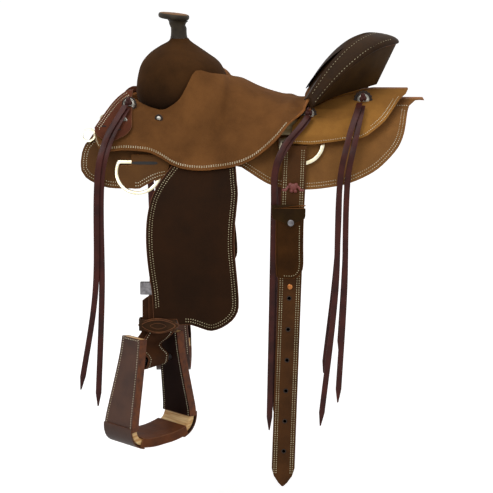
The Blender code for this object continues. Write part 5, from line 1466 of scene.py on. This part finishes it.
# Conchos and their strings
conchos = {
    "places": {"front": (-0.246, 0.090), "middle": (0.139, 0.072), "rear": (0.254, 0.098)},  # x and z
    "radii": {"front": 0.0150, "middle": 0.0130, "rear": 0.0160},
}
strings = {
    "width": 0.0125,
    "thick": 0.003,
    "lift": {"front": 0.0400, "middle": 0.0345, "rear": 0.0376},  # above the flank
    "hang": {"front": -0.030, "middle": -0.022, "rear": -0.014},  # below this height they hang free
    "step": 0.0036,  # the inner string lies this much further in
    # x and z down the middle of each string of a pair
    "lines": {
        "front": ([(-0.252, 0.090), (-0.287, 0.023), (-0.303, -0.060), (-0.312, -0.300), (-0.348, -0.518)],
                  [(-0.248, 0.083), (-0.276, 0.023), (-0.2945, -0.060), (-0.2985, -0.300), (-0.312, -0.556)]),
        "middle": ([(0.1370, 0.072), (0.1240, 0.056), (0.0890, 0.016), (0.0700, -0.035), (0.0675, -0.110),
                    (0.0655, -0.250), (0.0595, -0.606)],
                   [(0.1400, 0.069), (0.1310, 0.055), (0.0990, 0.018), (0.0720, -0.035), (0.0700, -0.110),
                    (0.0690, -0.250), (0.0650, -0.560)]),
        "rear": ([(0.246, 0.096), (0.224, 0.035), (0.206, -0.055), (0.199, -0.300), (0.170, -0.594)],
                 [(0.252, 0.090), (0.238, 0.032), (0.2215, -0.055), (0.218, -0.300), (0.207, -0.542)])},
    # the shorter pair behind the near fender
    "offFront": ([(-0.252, 0.090), (-0.254, 0.023), (-0.2450, -0.060), (-0.240, -0.130), (-0.237, -0.250),
                  (-0.235, -0.352)],
                 [(-0.248, 0.083), (-0.248, 0.023), (-0.2410, -0.060), (-0.237, -0.130), (-0.234, -0.250),
                  (-0.232, -0.338)]),
    "offFrontLift": 0.0435,  # over the off rigging dee
    "offRearStep": 0.006,  # the off rear pair hangs this much further back
}


def stringMiddle(points, z):
    for i in range(len(points) - 1):
        (x0, z0), (x1, z1) = points[i], points[i + 1]
        if z >= z1 or i == len(points) - 2:
            before = points[max(i - 1, 0)]
            after = points[min(i + 2, len(points) - 1)]
            t = (z - z0) / (z1 - z0)
            m0 = (x1 - before[0]) / (z1 - before[1]) * (z1 - z0)
            m1 = (after[0] - x0) / (after[1] - z0) * (z1 - z0)
            return (x0 * (2 * t**3 - 3 * t**2 + 1) + m0 * (t**3 - 2 * t**2 + t)
                    + x1 * (3 * t**2 - 2 * t**3) + m1 * (t**3 - t**2))


def makeStrings(side, placeName, knot):
    name = sideNames[side]
    offFront = (placeName, side) == ("front", offSide)
    pair = strings["offFront"] if offFront else strings["lines"][placeName]
    if (placeName, side) == ("rear", offSide):
        pair = [[(px + strings["offRearStep"] * (pz < 0), pz) for px, pz in line] for line in pair]
    lift = strings["offFrontLift"] if offFront else strings["lift"][placeName]

    def onString(x, z, offset):
        return Vector((x, -easedDrop(z, offset, 0.012, strings["hang"][placeName], 0.0), z))

    node = "strings_%s_%s" % (placeName, name)
    for index, points in enumerate(pair):
        inner = lift - strings["step"] * index
        top, foot = points[0][1], points[-1][1]
        heights = [top - (top - foot) * k / 60 for k in range(60)] + [foot + 0.030]
        heights = sorted(set(heights), reverse=True)
        left = [Vector((stringMiddle(points, z) - strings["width"] / 2, z))
                for z in heights if z > foot + 0.029]
        right = [Vector((p.x + strings["width"], p.y)) for p in reversed(left)]
        tip = stringMiddle(points, foot)
        line = left + [Vector((tip - 0.0014, foot)), Vector((tip + 0.0014, foot))] + right
        piece = panel("string_%s_%s_%s" % (placeName, "ab"[index], name), line, inner, strings["thick"],
                      ["string", "string"], "saddle", side, place=onString, replaced=(node,),
                      levels=[0.06, 0.045, 0.03, 0.02, 0.01, 0.005, 0, -0.006, -0.012, -0.018, -0.024,
                              -0.03], bevel=0.0008)


def surfaceFrame(x, z, lift):
    spot = onFlank(x, z, lift)
    up = (onFlank(x, z, lift + 0.01) - spot).normalized()
    along = Vector((1, 0, 0))
    return spot, along, up.cross(along).normalized(), up


def turnedOn(bm, frameAt, profile, count=48, lobes=0, depth=0.0, stretch=1.0, index=0):
    spot, along, across, up = frameAt
    rings = []
    for radius, height in profile:
        ring = []
        for k in range(count):
            a = 2 * math.pi * k / count
            r = radius * (1 - depth * abs(math.sin(a * lobes / 2)) if lobes else 1)
            ring.append(spot + along * (r * stretch * math.cos(a)) + across * (r * math.sin(a))
                        + up * height)
        rings.append(ring)
    first = len(bm.faces)
    closeEnds(bm, gridMesh(bm, rings, closed=True))
    bm.faces.ensure_lookup_table()
    for face in bm.faces[first:]:
        face.material_index = index


def conchoLift(placeName):
    return tabLift + tab["thick"] if placeName == "front" else jockey["overBar"] + jockey["thick"]


def makeConcho(side, placeName):
    name = sideNames[side]
    x, z = conchos["places"][placeName]
    radius = conchos["radii"][placeName]
    at = surfaceFrame(x, z, conchoLift(placeName) + 2 * gap)
    bm = bmesh.new()
    wide = 1.30 if placeName != "front" else 1.12
    turnedOn(bm, at, [(radius * wide, 0.0), (radius * wide, 0.0012), (radius * (wide - 0.04), 0.0018),
                      (0.001, 0.0018)], count=96, lobes=16, depth=0.10)
    turnedOn(bm, at, [(radius * (wide - 0.14), 0.0018), (radius * (wide - 0.14), 0.0026), (0.001, 0.0030)],
             count=96, lobes=16, depth=0.10)
    rim = radius * 0.86
    turnedOn(bm, at, [(rim, 0.0028), (rim, 0.0040), (rim * 0.94, 0.0047), (rim * 0.84, 0.0043),
                      (rim * 0.78, 0.0048), (rim * 0.60, 0.0060), (rim * 0.52, 0.0060),
                      (rim * 0.46, 0.0056), (rim * 0.36, 0.0066), (rim * 0.18, 0.0073), (0.0004, 0.0075)],
             count=96, lobes=20, depth=0.05, index=1)
    for k in range(10):
        a = 2 * math.pi * k / 10
        spot, along, across, up = at
        bead = (spot + along * (rim * 0.69 * math.cos(a)) + across * (rim * 0.69 * math.sin(a))
                + up * 0.0050, along, across, up)
        turnedOn(bm, bead, [(0.0011, 0.0), (0.0010, 0.0008), (0.0005, 0.0013), (0.0001, 0.0014)], count=10,
                 index=1)
    finishPiece("concho_%s_dressed_%s" % (placeName, name), bm, ["rosette", "silver"], "saddle", side,
                ("concho_%s_%s" % (placeName, name),), smooth=35)


# Small fasteners, x and z of each
trim = {
    "screw": (-0.180, 0.063),
    "oval": (-0.256, 0.060),
    "slots": ((-0.2935, 0.0480), (-0.2620, 0.0420)),
}


def makeTrim(side):
    name = sideNames[side]
    bm = bmesh.new()
    at = surfaceFrame(*trim["screw"], seat["lift"] + seat["thick"] + 0.0016)
    turnedOn(bm, at, [(0.0090, -0.0012), (0.0090, 0.0008), (0.0082, 0.0014), (0.0004, 0.0014)], count=72,
             lobes=12, depth=0.10)
    turnedOn(bm, at, [(0.0050, 0.0014), (0.0049, 0.0026), (0.0040, 0.0036), (0.0018, 0.0042),
                      (0.0003, 0.0043)], count=40, index=1)
    finishPiece("seat_screw_" + name, bm, ["rosette", "silver"], "saddle", side, smooth=35)
    at = surfaceFrame(*trim["oval"], tabLift + tab["thick"])
    bm = bmesh.new()
    turnedOn(bm, at, [(0.0078, 0.0002), (0.0078, 0.0012), (0.0070, 0.0018), (0.0062, 0.0014),
                      (0.0003, 0.0018)], count=48, stretch=1.35)
    finishPiece("tab_oval_" + name, bm, ["silver"], "saddle", side, smooth=35)
    # Each slot is a thin dark oval: painted shadow for the inside of the slot
    for index, (x, z) in enumerate(trim["slots"]):
        bm = bmesh.new()
        at = surfaceFrame(x, z, tabLift + tab["thick"])
        turnedOn(bm, at, [(0.0026, 0.0001), (0.0024, 0.0003), (0.0003, 0.0003)], count=24, stretch=1.9)
        finishPiece("tab_slot_%s_%s" % ("ab"[index], name), bm, ["shadow"], "saddle", side)


def makeKnot(side, placeName):
    name = sideNames[side]
    x, z = conchos["places"][placeName]
    spot, along, across, up = surfaceFrame(x, z, conchoLift(placeName) + 2 * gap + 0.0045)
    bm = bmesh.new()
    for dx, dz, r in ((-0.0035, -0.0030, 0.0062), (0.0030, -0.0045, 0.0058), (-0.0005, -0.0100, 0.0064)):
        at = (spot + along * dx + across * dz * -1, along, across, up)
        turnedOn(bm, at, [(r * 0.7, -0.0005), (r, 0.0012), (r * 0.92, 0.0030), (r * 0.55, 0.0044),
                          (0.0004, 0.0048)], count=24, stretch=0.8)
    return finishPiece("string_knot_%s_%s" % (placeName, name), bm, ["string"], "saddle", side)


print("building the leather")
for side in sideNames:
    print("dressing the", sideNames[side], "side")
    skirtGroup(side)
    dees(side)
    riggingLeather(side)
    fenderGroup(side)
    makeStrapLeather(side)
    makeHobble(side)
    makeStirrup(side)
    billetGroup(side)
    makeBilletTrim(side)
    makeTrim(side)
    for placeName in conchos["places"]:
        makeConcho(side, placeName)
        makeStrings(side, placeName, makeKnot(side, placeName))
makePouch()
print("pouch done")
makeSeat()
makeSwell()
makeHorn()
makeCantle()
print("seat, fork, horn and cantle done")
for node in ("tree_bar_near", "tree_bar_off", "tree_fork", "tree_cantle"):
    bpy.data.objects[node].data.materials[0] = paint["rawhide"]
bpy.data.objects["ground_seat"].data.materials[0] = paint["strap"]
bpy.data.objects["horn_core"].data.materials[0] = paint["steel"]


# The studio

def areaLight(name, place, aim, size, power):
    data = bpy.data.lights.new(name, "AREA")
    data.size = size
    data.energy = power
    lamp = bpy.data.objects.new(name, data)
    lamp.location = place
    lamp.rotation_euler = (Vector(aim) - Vector(place)).to_track_quat("-Z", "Y").to_euler()
    bpy.context.collection.objects.link(lamp)


floorMaterial, floorTree, floorShader = blankMaterial("paleFloor")
floorShader.inputs["Base Color"].default_value = (0.9, 0.9, 0.9, 1)
floorShader.inputs["Roughness"].default_value = 0.9
floorRays = addNode(floorTree, "ShaderNodeLightPath")
floorShader.inputs["Emission Color"].default_value = (1, 1, 1, 1)
glow = addNode(floorTree, "ShaderNodeMath", {"operation": "MULTIPLY"},
               i0=floorRays.outputs["Is Camera Ray"], i1=0.52)
floorTree.links.new(glow.outputs["Value"], floorShader.inputs["Emission Strength"])
floorMesh = bpy.data.meshes.new("floor")
floorBm = bmesh.new()
bmesh.ops.create_grid(floorBm, x_segments=1, y_segments=1, size=30)
floorBm.to_mesh(floorMesh)
floorBm.free()
floorMesh.materials.append(floorMaterial)
floor = bpy.data.objects.new("floor", floorMesh)
floor.location = (0, 0, -0.80)
bpy.context.collection.objects.link(floor)

world = bpy.data.worlds.new("studio")
world.use_nodes = True
background = world.node_tree.nodes["Background"]
background.inputs["Color"].default_value = (1, 1, 1, 1)
rays = addNode(world.node_tree, "ShaderNodeLightPath")
seen = addNode(world.node_tree, "ShaderNodeMath", {"operation": "MAXIMUM"},
               i0=rays.outputs["Is Camera Ray"], i1=rays.outputs["Is Transmission Ray"])
seen = addNode(world.node_tree, "ShaderNodeMath", {"operation": "MAXIMUM"}, i0=seen.outputs["Value"],
               i1=rays.outputs["Is Glossy Ray"])
strength = addNode(world.node_tree, "ShaderNodeMapRange", Value=seen.outputs["Value"], To_Min=0.55)
world.node_tree.links.new(strength.outputs["Result"], background.inputs["Strength"])
bpy.context.scene.world = world
bpy.context.scene.view_settings.view_transform = "Standard"
areaLight("keyLight", (-1.4, -2.2, 2.6), (0, 0, -0.1), 1.6, 34)
areaLight("topLight", (0.2, -0.3, 3.0), (0, 0, 0), 2.4, 26)
areaLight("fillLight", (2.4, -2.4, 0.9), (0, 0, -0.2), 2.0, 10)
